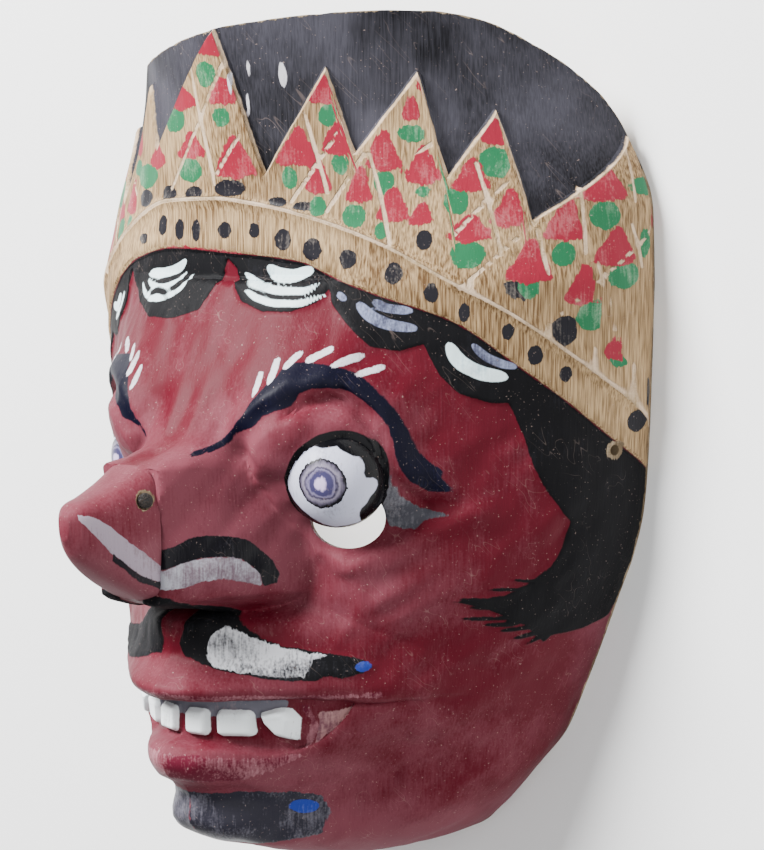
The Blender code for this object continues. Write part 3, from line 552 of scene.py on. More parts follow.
print("face outlines:", len(BROW_PAINT) + len(EYE_WHITE) + len(MOUSTACHE), "points in the three largest")

# %% Dabs of the crown: distance round the mask, height, half width, half height
RED_DABS = (
    (1, 95, 2.8, 2.5), (-12, 84, 4.6, 2.1), (2, 85, 2.8, 2.5), (-10, 74, 3.6, 2.6), (-26, 72, 3.1, 2.4),
    (3, 71, 3.6, 4.0), (25, 86, 2.4, 3.9), (18, 73, 3.1, 3.7), (27, 75, 2.7, 3.3), (22, 67, 1.7, 3.3),
    (31, 65, 1.8, 3.4), (45, 87, 1.0, 2.2), (42, 81, 1.2, 2.5), (36, 72, 2.5, 3.7), (44, 69, 2.4, 3.5),
    (38, 61, 2.3, 3.3), (44, 59, 1.4, 2.3), (60, 77, 2.6, 3.3), (54, 67, 2.5, 3.1), (62, 60, 2.5, 3.6),
    (54, 56, 3.3, 2.6), (74, 58, 2.9, 4.3), (67, 49, 3.4, 4.0), (83, 66, 4.1, 4.2), (86, 52, 3.8, 3.7),
    (79, 44, 2.9, 3.7), (88, 31, 2.3, 2.8), (101, 74, 1.6, 1.8), (104, 59, 4.2, 3.2),
)
GREEN_DABS = (
    (-2, 89, 3.0, 2.7), (-16, 80, 4.9, 2.8), (1, 80, 2.4, 2.1), (-11, 69, 4.4, 2.6), (-32, 68, 6.3, 2.8),
    (25, 80, 2.2, 2.5), (16, 67, 1.7, 2.5), (27, 70, 1.9, 2.2), (22, 61, 1.8, 2.1), (30, 59, 2.5, 2.5),
    (42, 76, 2.9, 1.9), (36, 66, 2.3, 2.5), (44, 64, 1.7, 1.3), (36, 56, 1.6, 1.7), (59, 70, 3.5, 3.3),
    (51, 62, 2.6, 3.0), (54, 51, 3.6, 3.0), (74, 51, 2.6, 2.7), (67, 45, 2.5, 3.4), (83, 59, 3.8, 3.1),
    (96, 65, 6.1, 2.1), (89, 46, 4.2, 3.3), (81, 38, 3.6, 3.4), (88, 28, 3.2, 2.6), (94, 53, 1.8, 3.2),
)
BLACK_DABS = (
    (-32, 63, 3.9, 2.0), (-20, 64, 3.3, 1.8), (-10, 64, 3.2, 1.6), (1, 65, 4.2, 1.9), (13, 62, 2.3, 1.1),
    (19, 61, 2.7, 1.0), (45, 54, 1.8, 2.2), (64, 43, 3.3, 2.8), (75, 35, 3.4, 3.4), (71, 31, 2.1, 2.0),
    (98, 22, 2.5, 2.3),
)
BAND_DOTS = (
    (-32, 54, 2.3, 1.4), (-23, 57, 2.0, 2.4), (-16, 56, 1.8, 2.4), (-10, 56, 1.6, 2.4), (-1, 56, 2.1, 1.9),
    (7, 56, 1.5, 1.7), (14, 54, 2.2, 2.3), (21, 52, 2.3, 2.4), (29, 50, 2.0, 2.2), (39, 47, 2.0, 2.5),
    (47, 43, 1.7, 2.2), (54, 39, 1.2, 2.1), (63, 35, 1.4, 1.7), (69, 30, 1.8, 2.2), (76, 26, 1.6, 1.8),
    (95, 15, 3.0, 2.5),
)
DRIPS = ((4, 87, 0.5, 2.4), (8, 90, 0.5, 1.8), (15.5, 88.5, 0.9, 2.6), (7, 82.5, 0.35, 2.6))
LINES = (
    ((71, 36), (104, 62)), ((80, 29), (101, 46)), ((77, 65), (79, 51)), ((68, 56), (71, 47)), ((92, 72), (91, 62)),
    ((90, 57), (94, 48)), ((82, 49), (86, 40)), ((89, 34), (95, 24)), ((68, 58), (53, 44)), ((55, 70), (61, 51)),
    ((63, 68), (58, 62)), ((57, 62), (51, 55)), ((46, 74), (41, 70)), ((32, 72), (24, 60)), ((33, 72), (38, 53)),
    ((20, 80), (24, 64)), ((28, 78), (16, 62)), ((-7, 91), (-3, 66)), ((3, 91), (-5, 80)), ((-5, 80), (-19, 65)),
    ((-5, 80), (-3, 68)), ((5, 76), (-2, 68)),
)
FAR_START, FAR_SHIFT, FAR_SCALE = 40, -6, -0.95  # marks further out than this are repeated on the far side
LINE_HALF, LEAF_EDGE_HALF, LIP_HALF, LIP_SHADE_HALF = 0.45, 0.26, 0.4, 0.5  # half widths of lines, in mm
UNMARKED = -9.0  # the distance that stands for far outside a mark


def both_sides(marks):
    """The crown's measured marks, with those of the near temple repeated on the far one."""
    far = [(FAR_SCALE * m[0], m[1] + FAR_SHIFT, *m[2:]) for m in marks if m[0] > FAR_START]
    return [*marks, *far]


print("dabs and dots on the crown:", sum(len(both_sides(m)) for m in (RED_DABS, GREEN_DABS, BLACK_DABS, BAND_DOTS)))


# %% From marks to distances
ARC_DABS = 40


def dab(s, y, marks, pointed=False):
    """How far inside the nearest dab a point lies, in mm. Red dabs are triangles, the others are round."""
    best = np.full(np.shape(s), UNMARKED)
    for cs, cy, w, h in marks:
        near = (np.abs(s - cs) < w + 4) & (np.abs(y - cy) < h + 4)
        a, b = s[near] - cs, y[near] - cy
        if pointed:
            half, low, high = w * 1.3 + 0.2, 0.6 - h * 1.05, h * 1.3 - 0.6
            corners = ((-half, low + 0.8), (0, low), (half, low + 0.8), (w * 0.25, high), (-w * 0.05, high))
            found = 0.6 + inside(a, b, corners)
        else:
            found = (1 - np.hypot(a / w, b / h) ** 1.6) * min(w, h)
        best[near] = np.maximum(best[near], found)
    return best


def stroke(x, y, lines):
    """The same for strokes, each given as its half width and its points."""
    best = np.full(np.shape(x), UNMARKED)
    for half, *points in lines:
        best = np.maximum(best, half - off_line(x, y, points))
    return best


def arcs(x, y, lines):
    """The same for brush arcs that taper to both ends, each laid down as a row of round dabs."""
    best = np.full(np.shape(x), UNMARKED)
    for half, *points in lines:
        points = np.array(points, float)
        lengths = np.concatenate([[0], np.cumsum(np.hypot(*np.diff(points, axis=0).T))])
        places = np.linspace(0, lengths[-1], ARC_DABS)
        wide = half * (1 - (2 * places / lengths[-1] - 1) ** 4) ** 0.5
        for ax, ay, radius in zip(*columns(np.column_stack([lengths, points]), places), wide):
            best = np.maximum(best, radius - np.hypot(x - ax, y - ay))
    return best


def marks_on_mask(s, x, y, z):
    """Every paint's edge as a distance in mm, positive inside it."""
    ax = np.abs(x)
    top, foot = through(s, BAND_TOP), through(s, BAND_FOOT)
    under = np.where(y < leaf_edge(s), 1, -1) * off_line(s, y, LEAF_LINE)
    leaf, band = np.minimum(under, y - top), np.minimum(y - foot, top - y)
    found = {"field": y - foot, "tan": np.maximum(leaf, band)}

    far_lines = [[(FAR_SCALE * a, b + FAR_SHIFT) for a, b in line] for line in LINES if line[0][0] > FAR_START]
    lines = stroke(s, y, [(LINE_HALF, *line) for line in [*LINES, *far_lines]])
    lines = np.minimum(np.maximum(lines, LEAF_EDGE_HALF - np.abs(under - 0.2)), y - top + 1)
    found["line"] = np.maximum(lines, LIP_HALF - np.abs(y - top - 0.2))
    red_edge = 0.5 - np.hypot(y - foot + 0.3, np.maximum(np.abs(s + 9) - 12, 0))
    found["red"] = np.maximum(np.minimum(dab(s, y, both_sides(RED_DABS), True), leaf - 0.3), red_edge)
    found["green"] = np.minimum(dab(s, y, both_sides(GREEN_DABS)), leaf - 0.2)
    dots = np.minimum(dab(s, y, both_sides(BAND_DOTS)), band)
    found["dot"] = np.maximum(dots, np.minimum(dab(s, y, both_sides(BLACK_DABS)), leaf))

    below_band = foot - y - 0.2
    hair = np.minimum(y - np.interp(s, *np.array(HAIR_LINE, float).T), np.minimum(below_band, 70 - np.abs(s)))
    sideburn = np.minimum(inside(np.abs(s), y, SIDEBURN), below_band)
    near_hairs = np.where(s > 0, arcs(s, y, SIDEBURN_HAIRS), UNMARKED)
    found["hair"] = np.maximum(np.maximum(hair, sideburn), near_hairs)
    found["mint"] = np.where(y > 15, arcs(s, y, MINT), UNMARKED)
    found["lavender"] = arcs(s, y, LAVENDER)

    front = (y < 40) & (z > 20)
    lip = front & (y < -17)
    wing = front & (ax > 7) & (ax < 25) & (y < -3)
    outlines = (
        ("brow", BROW_PAINT, ax, front), ("corner", CORNER_GREY, ax, front), ("wing_black", WING_BLACK, z, wing),
        ("wing_white", WING_WHITE, z, wing), ("moustache", MOUSTACHE, ax, lip), ("silver", MOUSTACHE_HIGHLIGHT, ax, lip & (x > 0)),
        ("lip", LOWER_LIP_PAINT, ax, lip), ("salmon", MOUTH_CORNER, ax, lip), ("chin", CHIN_PATCH, ax, lip),
    )
    for name, outline, across, where in outlines:
        found[name] = np.where(where, inside(across, y, outline), UNMARKED)
    tail = np.where(front & (x > 0), arcs(x, y, BROW_TAIL), UNMARKED)
    found["brow"] = np.maximum(found["brow"], tail)
    dashes = np.where(front, arcs(ax, y, DASHES), UNMARKED)
    found["dash"] = np.maximum(dashes, dab(s, y, DRIPS))
    # The lip coat also carries painted shade: the line under the upper lip and the stroke beside the fang.
    lip_shade_lines = stroke(ax, y, [(LIP_SHADE_HALF, *UPPER_LIP_SHADE), FANG_SHADE])
    found["lip"] = np.maximum(found["lip"], np.where(lip, lip_shade_lines, UNMARKED))
    half, low, high = GUM
    found["gum"] = np.where(lip, np.minimum(half - ax, np.minimum(y - low, high - y)), UNMARKED)
    found["tooth"] = np.where(lip & (y > -56) & (y < -44), teeth(x, y) - TOOTH_PAINT, UNMARKED)
    found["blue"] = np.where(lip, dab(ax, y, BLUE_DABS), UNMARKED)
    return found


# %% Low relief that the painter's edges follow
HAIR_THICK, MOUSTACHE_THICK, FOLD_DEPTH, FOLD_HALF = 0.45, 0.5, 0.9, 0.8
LUMPS, NOSE_LUMPS = 0.4, 0.55  # unevenness that the knife left on the face, and more of it on the nose


def low_relief(s, x, y, z):
    """How far the hair, moustache, folds and knife marks stand proud, in mm."""
    marks = marks_on_mask(s, x, y, z)
    ax = np.abs(x)
    out = HAIR_THICK * ease((marks["hair"] + 0.4) / 0.8)
    out += MOUSTACHE_THICK * ease((marks["moustache"] + 0.6) / 1.4)
    bare_face = ease((through(s, BAND_FOOT) - 3 - y) / 6) * ease((z - 8) / 12) * ease((y + 84) / 6)
    lumps = value_noise(x / 8 + 40, y / 7 + z / 9 + 40, 5)
    lumps += 0.5 * value_noise(x / 3.5 + 20, y / 3.5 + z / 4 + 60, 6)
    on_nose = ease((26 - ax) / 6) * ease((y + 12) / 8) * ease((24 - y) / 8)
    at_mouth = ease((38 - ax) / 8) * ease((-38 - y) / 4) * ease((y + 64) / 4)
    out += lumps * (LUMPS + NOSE_LUMPS * on_nose) * bare_face * (1 - at_mouth)
    front = (y < 30) & (z > 30)
    for fold in LID_FOLDS:
        out -= np.where(front, FOLD_DEPTH * np.exp(-((off_line(ax, y, fold) / FOLD_HALF) ** 2)), 0)
    return out


# %% The outside and the hollow
def outer_surface():
    """The carved outside as rows of columns of points, with their distance round the mask."""
    across = column_places()
    lines = carved_lines(across)
    share = np.concatenate([np.linspace(a, b, n, endpoint=False) for a, b, n in FACE_ROWS])
    rows = [t * lines[0] for t in share]
    for low, high, count in zip(lines, lines[1:] + [np.full(len(across), 2.0)], CROWN_ROWS):
        rows += [low + (high - low) * k / count for k in range(count)]
    up = np.array(rows + [np.full(len(across), 2.0)])
    across = np.broadcast_to(across, up.shape)
    out = shell(across, up)
    along = along_shell(across, up)
    x, y, z = [out[..., k].copy() for k in range(3)]
    out[..., 2] = np.where(y < CROWN_FOOT + 1, face_depth(x, y, z), z)
    out += outward(across, up) * (crown_relief(along, y) * ease(z / RIM_FADE))[..., None]
    fine = low_relief(along, out[..., 0], out[..., 1], out[..., 2]) * ease(z / RIM_FADE)
    out += grid_normals(out) * fine[..., None]
    out[:, 0, 2] = out[:, -1, 2] = out[0, :, 2] = 0.0
    out[..., 2] = np.maximum(out[..., 2], 0.0)
    return out, along


outside, outside_along = outer_surface()
INNER = 70
q, up = np.meshgrid(np.linspace(-1, 1, INNER + 1), np.linspace(0, 2, INNER + 1))
hollow = shell(q, up, WALL)
hollow[:, 0, 2] = hollow[:, -1, 2] = hollow[0, :, 2] = 0.0
print("outside grid:", outside.shape[:2], "hollow grid:", hollow.shape[:2])


# %% Meshes from grids
def grid_faces(points, first, faces_out):
    """Triangles over a grid, split along the shorter diagonals, wound to face out of the mask or into the hollow."""
    height, width = points.shape[:2]
    a = first + np.arange(height * width).reshape(height, width)[:-1, :-1]
    b, c, d = a + 1, a + width + 1, a + width
    rising = np.linalg.norm(points[1:, 1:] - points[:-1, :-1], axis=2)
    falling = np.linalg.norm(points[1:, :-1] - points[:-1, 1:], axis=2)
    split = (rising < falling)[..., None]
    first_half = np.where(split, np.stack([a, b, c], -1), np.stack([a, b, d], -1))
    second_half = np.where(split, np.stack([a, c, d], -1), np.stack([b, c, d], -1))
    faces = np.concatenate([first_half.reshape(-1, 3), second_half.reshape(-1, 3)])
    return faces if faces_out else faces[:, ::-1]


def border(points, first):
    """The grid's edge loop, anticlockwise from its lower left corner, with a running place for each point."""
    rows, cols = points.shape[:2]
    index = first + np.arange(rows * cols).reshape(rows, cols)
    sides = [(index[0], points[0]), (index[:, -1], points[:, -1])]
    sides += [(index[-1, ::-1], points[-1, ::-1]), (index[::-1, 0], points[::-1, 0])]
    loop, place = [], []
    for number, (line, along) in enumerate(sides):
        length = np.concatenate([[0], np.cumsum(np.linalg.norm(np.diff(along, axis=0), axis=1))])
        loop += list(line[:-1])
        place += list(number + length[:-1] / length[-1])
    return loop + loop[:1], place + [4.0]


def zip_borders(outer_loop, inner_loop):
    """Triangles between two edge loops that have different numbers of points."""
    (a, pa), (b, pb) = outer_loop, inner_loop
    i = j = 0
    faces = []
    while i < len(a) - 1 or j < len(b) - 1:
        if j == len(b) - 1 or (i < len(a) - 1 and pa[i + 1] <= pb[j + 1]):
            faces.append((a[i + 1], a[i], b[j]))
            i += 1
        else:
            faces.append((a[i], b[j], b[j + 1]))
            j += 1
    return np.array(faces)


def linked(name, data):
    """A new object in the scene."""
    obj = bpy.data.objects.new(name, data)
    bpy.context.scene.collection.objects.link(obj)
    return obj


def add_object(name, points, faces):
    """A mesh object from points in drawn millimetres."""
    mesh = bpy.data.meshes.new(name)
    points = np.asarray(points, float).reshape(-1, 3) * MM
    mesh.from_pydata(points.tolist(), [], faces if isinstance(faces, list) else faces.tolist())
    mesh.validate()
    return linked(name, mesh)


def skin(rings, count, closed_ends=True):
    """Faces over rings of count points each, one after the other."""
    faces = []
    for i in range(rings - 1):
        a, b = i * count, (i + 1) * count
        faces += [(a + k, a + (k + 1) % count, b + (k + 1) % count, b + k) for k in range(count)]
    if closed_ends:
        faces += [tuple(range(count))[::-1], tuple(range((rings - 1) * count, rings * count))]
    return faces


def prism(name, start, axis, length, radii, sides=64):
    """A closed round or oval bar from start along axis. The first radius lies in the XZ plane."""
    axis = Vector(axis).normalized()
    across = Vector((0, 1, 0)).cross(axis).normalized()
    upward = axis.cross(across)
    turns = np.linspace(0, 2 * np.pi, sides, endpoint=False)
    ring = [across * (radii[0] * np.cos(t)) + upward * (radii[1] * np.sin(t)) for t in turns]
    points = [Vector(start) + p for p in ring] + [Vector(start) + axis * length + p for p in ring]
    faces = [tuple(range(sides))[::-1], tuple(range(sides, 2 * sides))]
    faces += [(k, (k + 1) % sides, sides + (k + 1) % sides, sides + k) for k in range(sides)]
    return add_object(name, [tuple(p) for p in points], faces)


# %% [markdown]
# ## Gouge marks
# The hollow was scooped out with a round gouge and left as it came. Each scoop is a shallow dish, longer than it is
# wide, that meets its neighbours in low ridges. Cells of a Voronoi pattern are just that, so Geometry Nodes lower
# every point of the hollow by its cell's dish. The same tree, with smaller and flatter dishes, gives the outside
# its faint knife facets. A gouge only takes wood away, so points only ever move into the wood.

# %% Add a node, and the gouge tree
def add(tree, kind, inputs=(), **settings):
    """One node with its settings. An input is given as a value or as the output that feeds it."""
    node = tree.nodes.new(kind)
    for name, value in settings.items():
        setattr(node, name, value)
    for socket, value in dict(inputs).items():
        if isinstance(value, bpy.types.NodeSocket):
            tree.links.new(value, node.inputs[socket])
        else:
            node.inputs[socket].default_value = value
    return node


def maths(tree, operation, *values):
    """A number made from others. MULTIPLY_ADD is the first times the second, plus the third."""
    return add(tree, "ShaderNodeMath", enumerate(values), operation=operation).outputs[0]


def ramped(tree, value, low, high, first=0.0, last=1.0):
    """A number stretched from one range to another and held inside it."""
    ranges = {"From Min": low, "From Max": high, "To Min": first, "To Max": last}
    return add(tree, "ShaderNodeMapRange", {"Value": value, **ranges}).outputs[0]


def gouge_tree():
    """Inputs: the mesh, the size of a scoop as a vector, its depth, and the name of the attribute that says where."""
    tree = bpy.data.node_groups.new("gouge marks", "GeometryNodeTree")
    kinds = {"Mesh": "Geometry", "Scoop Size": "Vector", "Depth": "Float", "Where": "String", "Material": "Material"}
    for name, kind in kinds.items():
        tree.interface.new_socket(name, in_out="INPUT", socket_type="NodeSocket" + kind)
    tree.interface.new_socket("Mesh", in_out="OUTPUT", socket_type="NodeSocketGeometry")
    given = add(tree, "NodeGroupInput").outputs
    place = add(tree, "GeometryNodeInputPosition").outputs[0]
    cell = add(tree, "ShaderNodeVectorMath", {0: place, 1: given["Scoop Size"]}, operation="DIVIDE").outputs[0]
    dish = add(tree, "ShaderNodeTexVoronoi", {"Vector": cell, "Scale": 1.0, "Randomness": 0.85},
               feature="SMOOTH_F1", distance="EUCLIDEAN").outputs["Distance"]
    bowl = ramped(tree, dish, 0.75, 0.0)
    where = add(tree, "GeometryNodeInputNamedAttribute", {"Name": given["Where"]}, data_type="FLOAT").outputs[0]
    deep = maths(tree, "MULTIPLY", maths(tree, "MULTIPLY", bowl, where), given["Depth"])
    inwards = maths(tree, "MULTIPLY", deep, -1.0)
    normal = add(tree, "GeometryNodeInputNormal").outputs[0]
    move = add(tree, "ShaderNodeVectorMath", {0: normal, "Scale": inwards}, operation="SCALE").outputs[0]
    moved = add(tree, "GeometryNodeSetPosition", {"Geometry": given["Mesh"], "Offset": move}).outputs[0]
    real = add(tree, "GeometryNodeRealizeInstances", {0: moved}).outputs[0]
    done = add(tree, "GeometryNodeSetMaterial", {"Geometry": real, "Material": given["Material"]}).outputs[0]
    add(tree, "NodeGroupOutput", {0: done})
    return tree


def gouge(obj, tree, size, depth, where, material):
    """Adds the tree to an object, with each input set by its socket's identifier."""
    modifier = obj.modifiers.new(where, "NODES")
    modifier.node_group = tree
    values = {"Scoop Size": [v * MM for v in size], "Depth": depth * MM, "Where": where, "Material": material}
    for item in tree.interface.items_tree:
        if item.in_out == "INPUT" and item.name in values:
            modifier[item.identifier] = values[item.name]


def baked(obj, name):
    """The object as its modifiers leave it, as a plain mesh of its own."""
    graph = bpy.context.evaluated_depsgraph_get()
    graph.update()
    return linked(name, bpy.data.meshes.new_from_object(obj.evaluated_get(graph)))


def add_attribute(mesh, name, values):
    """A number for each point of a mesh."""
    layer = mesh.attributes.new(name, "FLOAT", "POINT")
    layer.data.foreach_set("value", np.asarray(values, np.float32).ravel())


# %% [markdown]
# ## Oil paint on carved wood
# The mask is soft light wood under oil paint, put on with a brush and worn by hands. Each coat is opaque, has a
# slight thickness, and has gone thin along the wood's upright grain. The shader lays the coats over each other in
# the painter's order: each reads its distance from an attribute, its edge wobbles with the brush, and its wear
# follows the grain.

# %% Colours and the wood's own pattern
def colour(code):
    """A linear colour from an sRGB hex code."""
    parts = np.array([int(code[k:k + 2], 16) / 255 for k in (1, 3, 5)])
    linear = np.where(parts <= 0.04045, parts / 12.92, ((parts + 0.055) / 1.055) ** 2.4)
    return (*linear.tolist(), 1.0)


# Coat: attribute, fresh colour, worn colour, roughness, brush wobble in mm, share worn.
COATS = (
    ("field", "#0f0f13", "#403f47", 0.68, 0.2, 0.1),
    ("tan", "#574028", "#b0946e", 0.68, 0.25, 0.3),
    ("dot", "#1b1a1f", "#6b655f", 0.4, 0.6, 0.25),
    ("green", "#1f6340", "#6b9070", 0.5, 0.9, 0.3),
    ("red", "#851f30", "#a35a5e", 0.5, 0.9, 0.25),
    ("line", "#c4ac92", "#96805f", 0.7, 0.2, 0.45),
    ("hair", "#08080b", "#16161b", 0.62, 0.25, 0.15),
    ("mint", "#d4e8ea", "#9fbcc6", 0.4, 0.12, 0.2),
    ("lavender", "#7d84a0", "#3c3e50", 0.4, 0.1, 0.45),
    ("brow", "#060618", "#14142c", 0.5, 0.3, 0.2),
    ("dash", "#c4c2c8", "#8f7a80", 0.5, 0.3, 0.35),
    ("corner", "#3f3f46", "#6b6a70", 0.45, 0.5, 0.3),
    ("wing_black", "#0f0e13", "#2e2d33", 0.25, 0.3, 0.15),
    ("wing_white", "#a3a2ab", "#6a5a64", 0.4, 0.5, 0.5),
    ("moustache", "#0c0c0f", "#28282d", 0.7, 0.4, 0.2),
    # painted highlight: pale silver over the moustache's glossy black
    ("silver", "#c6c7cc", "#2c2c31", 0.25, 0.9, 0.42),
    # the lip coat also paints shade under the upper lip and beside the fang
    ("lip", "#541526", "#8c5c64", 0.45, 0.7, 0.4),
    ("gum", "#63626c", "#83757c", 0.4, 0.5, 0.3),
    ("salmon", "#a8807f", "#6e4650", 0.45, 0.6, 0.45),
    ("tooth", "#e4eaec", "#a6a9ad", 0.3, 0.25, 0.15),
    ("chin", "#27262f", "#605e68", 0.45, 0.6, 0.3),
    ("blue", "#24378a", "#5a66a4", 0.35, 0.3, 0.15),
    ("eye_black", "#09090c", "#1c1b20", 0.2, 0.1, 0.1),
    ("eye_white", "#b4b6c8", "#8a8a9a", 0.3, 0.1, 0.25),
)
TIP_COATS = (
    ("stripe", "#8f838e", "#6b565c", 0.4, 0.4, 0.35),
    ("stripe_edge", "#1c181d", "#4a3c42", 0.35, 0.5, 0.3),
)
BARE = ("bare", "#6b5c48", "#a8967c", 0.75, 0.9, 0.45)
WEAR = {"tan": (0.75, 0.35), "field": (0.3, 0.8)}  # these two wear by the crown's fibres and by patches
# Lines are cut into the wood and the crown's two grounds lie level with it. Other coats stand proud. In mm.
THICKNESS, COAT_THICKNESS = {"line": -0.35, "field": 0.0, "tan": 0.0}, 0.06
# Rings of the iris from its middle out: pale pupil, lavender, dark rings and outline, by share of 6 mm.
IRIS_SPAN, IRIS_WOBBLE = 6.0, 1.6
IRIS_RINGS = (
    (0, "#c3b2d6"), (0.2, "#b7a6cc"), (0.27, "#3b3858"), (0.42, "#393553"), (0.5, "#716a86"), (0.57, "#2f2b3c"),
    (0.64, "#7b7486"), (0.76, "#4c4756"), (0.82, "#121116"), (0.89, "#121116"),
)
# The wood under the paint, how faint scratches are beside pinholes, and how far both show it.
PALE_WOOD, SCRATCHED, HURT = "#b09a90", 0.35, 0.35


def noise(tree, place, scale, detail):
    """A number for every place, about 0.5 on average."""
    return add(tree, "ShaderNodeTexNoise", {"Vector": place, "Scale": scale, "Detail": detail}).outputs[0]


def blend(tree, share, below, above):
    """One colour laid over another."""
    return add(tree, "ShaderNodeMix", {0: share, 6: below, 7: above}, data_type="RGBA").outputs[2]


def new_material(name):
    """A material, its tree and its shader."""
    material = bpy.data.materials.new(name)
    material.use_nodes = True
    return material, material.node_tree, material.node_tree.nodes["Principled BSDF"]


def painted_wood(name, coats, fresh, worn_and_lit):
    """Oil paint, brushed on carved wood."""
    material, tree, shader = new_material(name)
    place = add(tree, "ShaderNodeTexCoord").outputs["Object"]

    # Upright grain 0.5 mm across and 9 mm long, and the crown's fibres, 0.35 mm across and 7 mm long.
    stretched = [add(tree, "ShaderNodeMapping", {"Vector": place, "Scale": (wide, long, wide)}).outputs[0]
                 for wide, long in ((2000, 110), (2800, 140))]
    grain = noise(tree, stretched[0], 1.0, 3.0)
    fibre = ramped(tree, noise(tree, stretched[1], 1.0, 2.0), 0.34, 0.66)
    # Blotches of 9 mm, patches of 22 mm, brush edges of 2.2 mm and specks of 0.5 mm.
    sizes = ((110.0, 4.0), (45.0, 5.0), (450.0, 3.0), (2000.0, 1.0))
    blotch, patch, edge, speck = [noise(tree, place, scale, detail) for scale, detail in sizes]
    patch = ramped(tree, patch, 0.35, 0.65)
    # Scratches 0.1 mm wide that run aslant: the places where a drawn-out noise crosses its middle.
    drawn_out = {"Vector": place, "Rotation": (0.4, 0.3, 0.8), "Scale": (0.002, 0.03, 0.002)}
    aslant = add(tree, "ShaderNodeMapping", drawn_out, vector_type="TEXTURE").outputs[0]
    off_middle = maths(tree, "ABSOLUTE", maths(tree, "SUBTRACT", noise(tree, aslant, 1.0, 0.0), 0.5))
    scratch = ramped(tree, off_middle, 0.01, 0.002)
    wobble = maths(tree, "SUBTRACT", maths(tree, "MULTIPLY_ADD", grain, 0.6, edge), 0.8)
    # How worn a place is: blotches first, then grain and specks, 0 to 1.
    rub = maths(tree, "MULTIPLY_ADD", speck, 0.5, maths(tree, "MULTIPLY_ADD", blotch, 2.0, grain))
    rub = ramped(tree, rub, 1.2, 2.3)

    # The ground coat: crimson, turning rose where hands rubbed it, and rose as painted light where light and its
    # reflection fall on the nose, lids, lips, chin and jaw.
    handled = add(tree, "ShaderNodeAttribute", attribute_name="handled").outputs["Fac"]
    rosy = ramped(tree, maths(tree, "ADD", rub, handled), 0.55, 1.6)
    tint = blend(tree, rosy, colour(fresh), colour(worn_and_lit))
    shine = ramped(tree, rosy, 0.0, 1.0, 0.5, 0.66)
    height = maths(tree, "MULTIPLY", grain, 0.1)

    for attribute, fresh_code, worn_code, rough, brush, share in [*coats, BARE]:
        inside_mm = add(tree, "ShaderNodeAttribute", attribute_name=attribute).outputs["Fac"]
        covers = ramped(tree, maths(tree, "MULTIPLY_ADD", wobble, 2 * brush, inside_mm), -0.1, 0.12)
        if attribute in WEAR:
            streaks, patches = WEAR[attribute]
            tone = maths(tree, "MULTIPLY_ADD", patch, patches, maths(tree, "MULTIPLY", fibre, streaks))
            rubbed = ramped(tree, tone, 0.1, 1.0)
        else:
            rubbed = ramped(tree, rub, 0.8 - share, 1.3 - share)
        coat = blend(tree, rubbed, colour(fresh_code), colour(worn_code))
        tint = blend(tree, covers, tint, coat)
        shine = add(tree, "ShaderNodeMix", {0: covers, 2: shine, 3: rough}).outputs[0]
        height = maths(tree, "MULTIPLY_ADD", covers, THICKNESS.get(attribute, COAT_THICKNESS), height)

    if coats is COATS:
        off = add(tree, "ShaderNodeAttribute", attribute_name="iris").outputs["Fac"]
        reach = maths(tree, "DIVIDE", maths(tree, "MULTIPLY_ADD", wobble, IRIS_WOBBLE, off), IRIS_SPAN)
        rings = add(tree, "ShaderNodeValToRGB", {0: reach})
        ramp = rings.color_ramp
        for number, (stop, code) in enumerate(IRIS_RINGS):
            point = ramp.elements[number] if number < 2 else ramp.elements.new(stop)
            point.position = stop
            point.color = colour(code)
        is_iris = maths(tree, "LESS_THAN", reach, IRIS_RADIUS / IRIS_SPAN)
        tint = blend(tree, is_iris, tint, rings.outputs[0])

    # Pinholes, and fainter scratches, that show the pale wood through every coat.
    here = ramped(tree, blotch, 0.5, 0.6)
    scratched = maths(tree, "MULTIPLY", maths(tree, "MULTIPLY", scratch, here), SCRATCHED)
    hurt = maths(tree, "MAXIMUM", scratched, ramped(tree, speck, 0.715, 0.79))
    tint = blend(tree, maths(tree, "MULTIPLY", hurt, HURT), tint, colour(PALE_WOOD))

    bump = add(tree, "ShaderNodeBump", {"Height": height, "Strength": 0.6, "Distance": MM}).outputs[0]
    shader.inputs["Specular IOR Level"].default_value = 0.1
    for socket, output in (("Base Color", tint), ("Roughness", shine), ("Normal", bump)):
        tree.links.new(output, shader.inputs[socket])
    return material


mask_paint = painted_wood("oil paint on carved wood", COATS, "#500b1a", "#6a353f")
tip_paint = painted_wood("oil paint on carved wood, nose tip", TIP_COATS, "#561522", "#6e3c45")
print("coats of paint:", len(COATS), "on the mask and", len(TIP_COATS), "on the tip of the nose")

# %% [markdown]
# ## The mask
# On the real mask the shell, the eyeballs and the stump of the nose are one block. So they are joined here: the
# slits are cut first, then the eyeballs are set in, then the strap holes and the nail's bore are drilled.

# %% Eyeballs and cutters
def middle(points):
    """Drawn form to the model's place, centred between chin and crown."""
    return np.asarray(points, float) - (0, (LOWEST + HIGHEST) / 2, 0)


def eye_centre(side):
    """The middle of an eyeball. The far one sits deeper and nearer the midline."""
    across, deep = (EYE_SIDE, EYE_DEPTH) if side > 0 else (FAR_EYE_SIDE, FAR_EYE_DEPTH)
    return middle((side * across, EYE_LEVEL, deep))


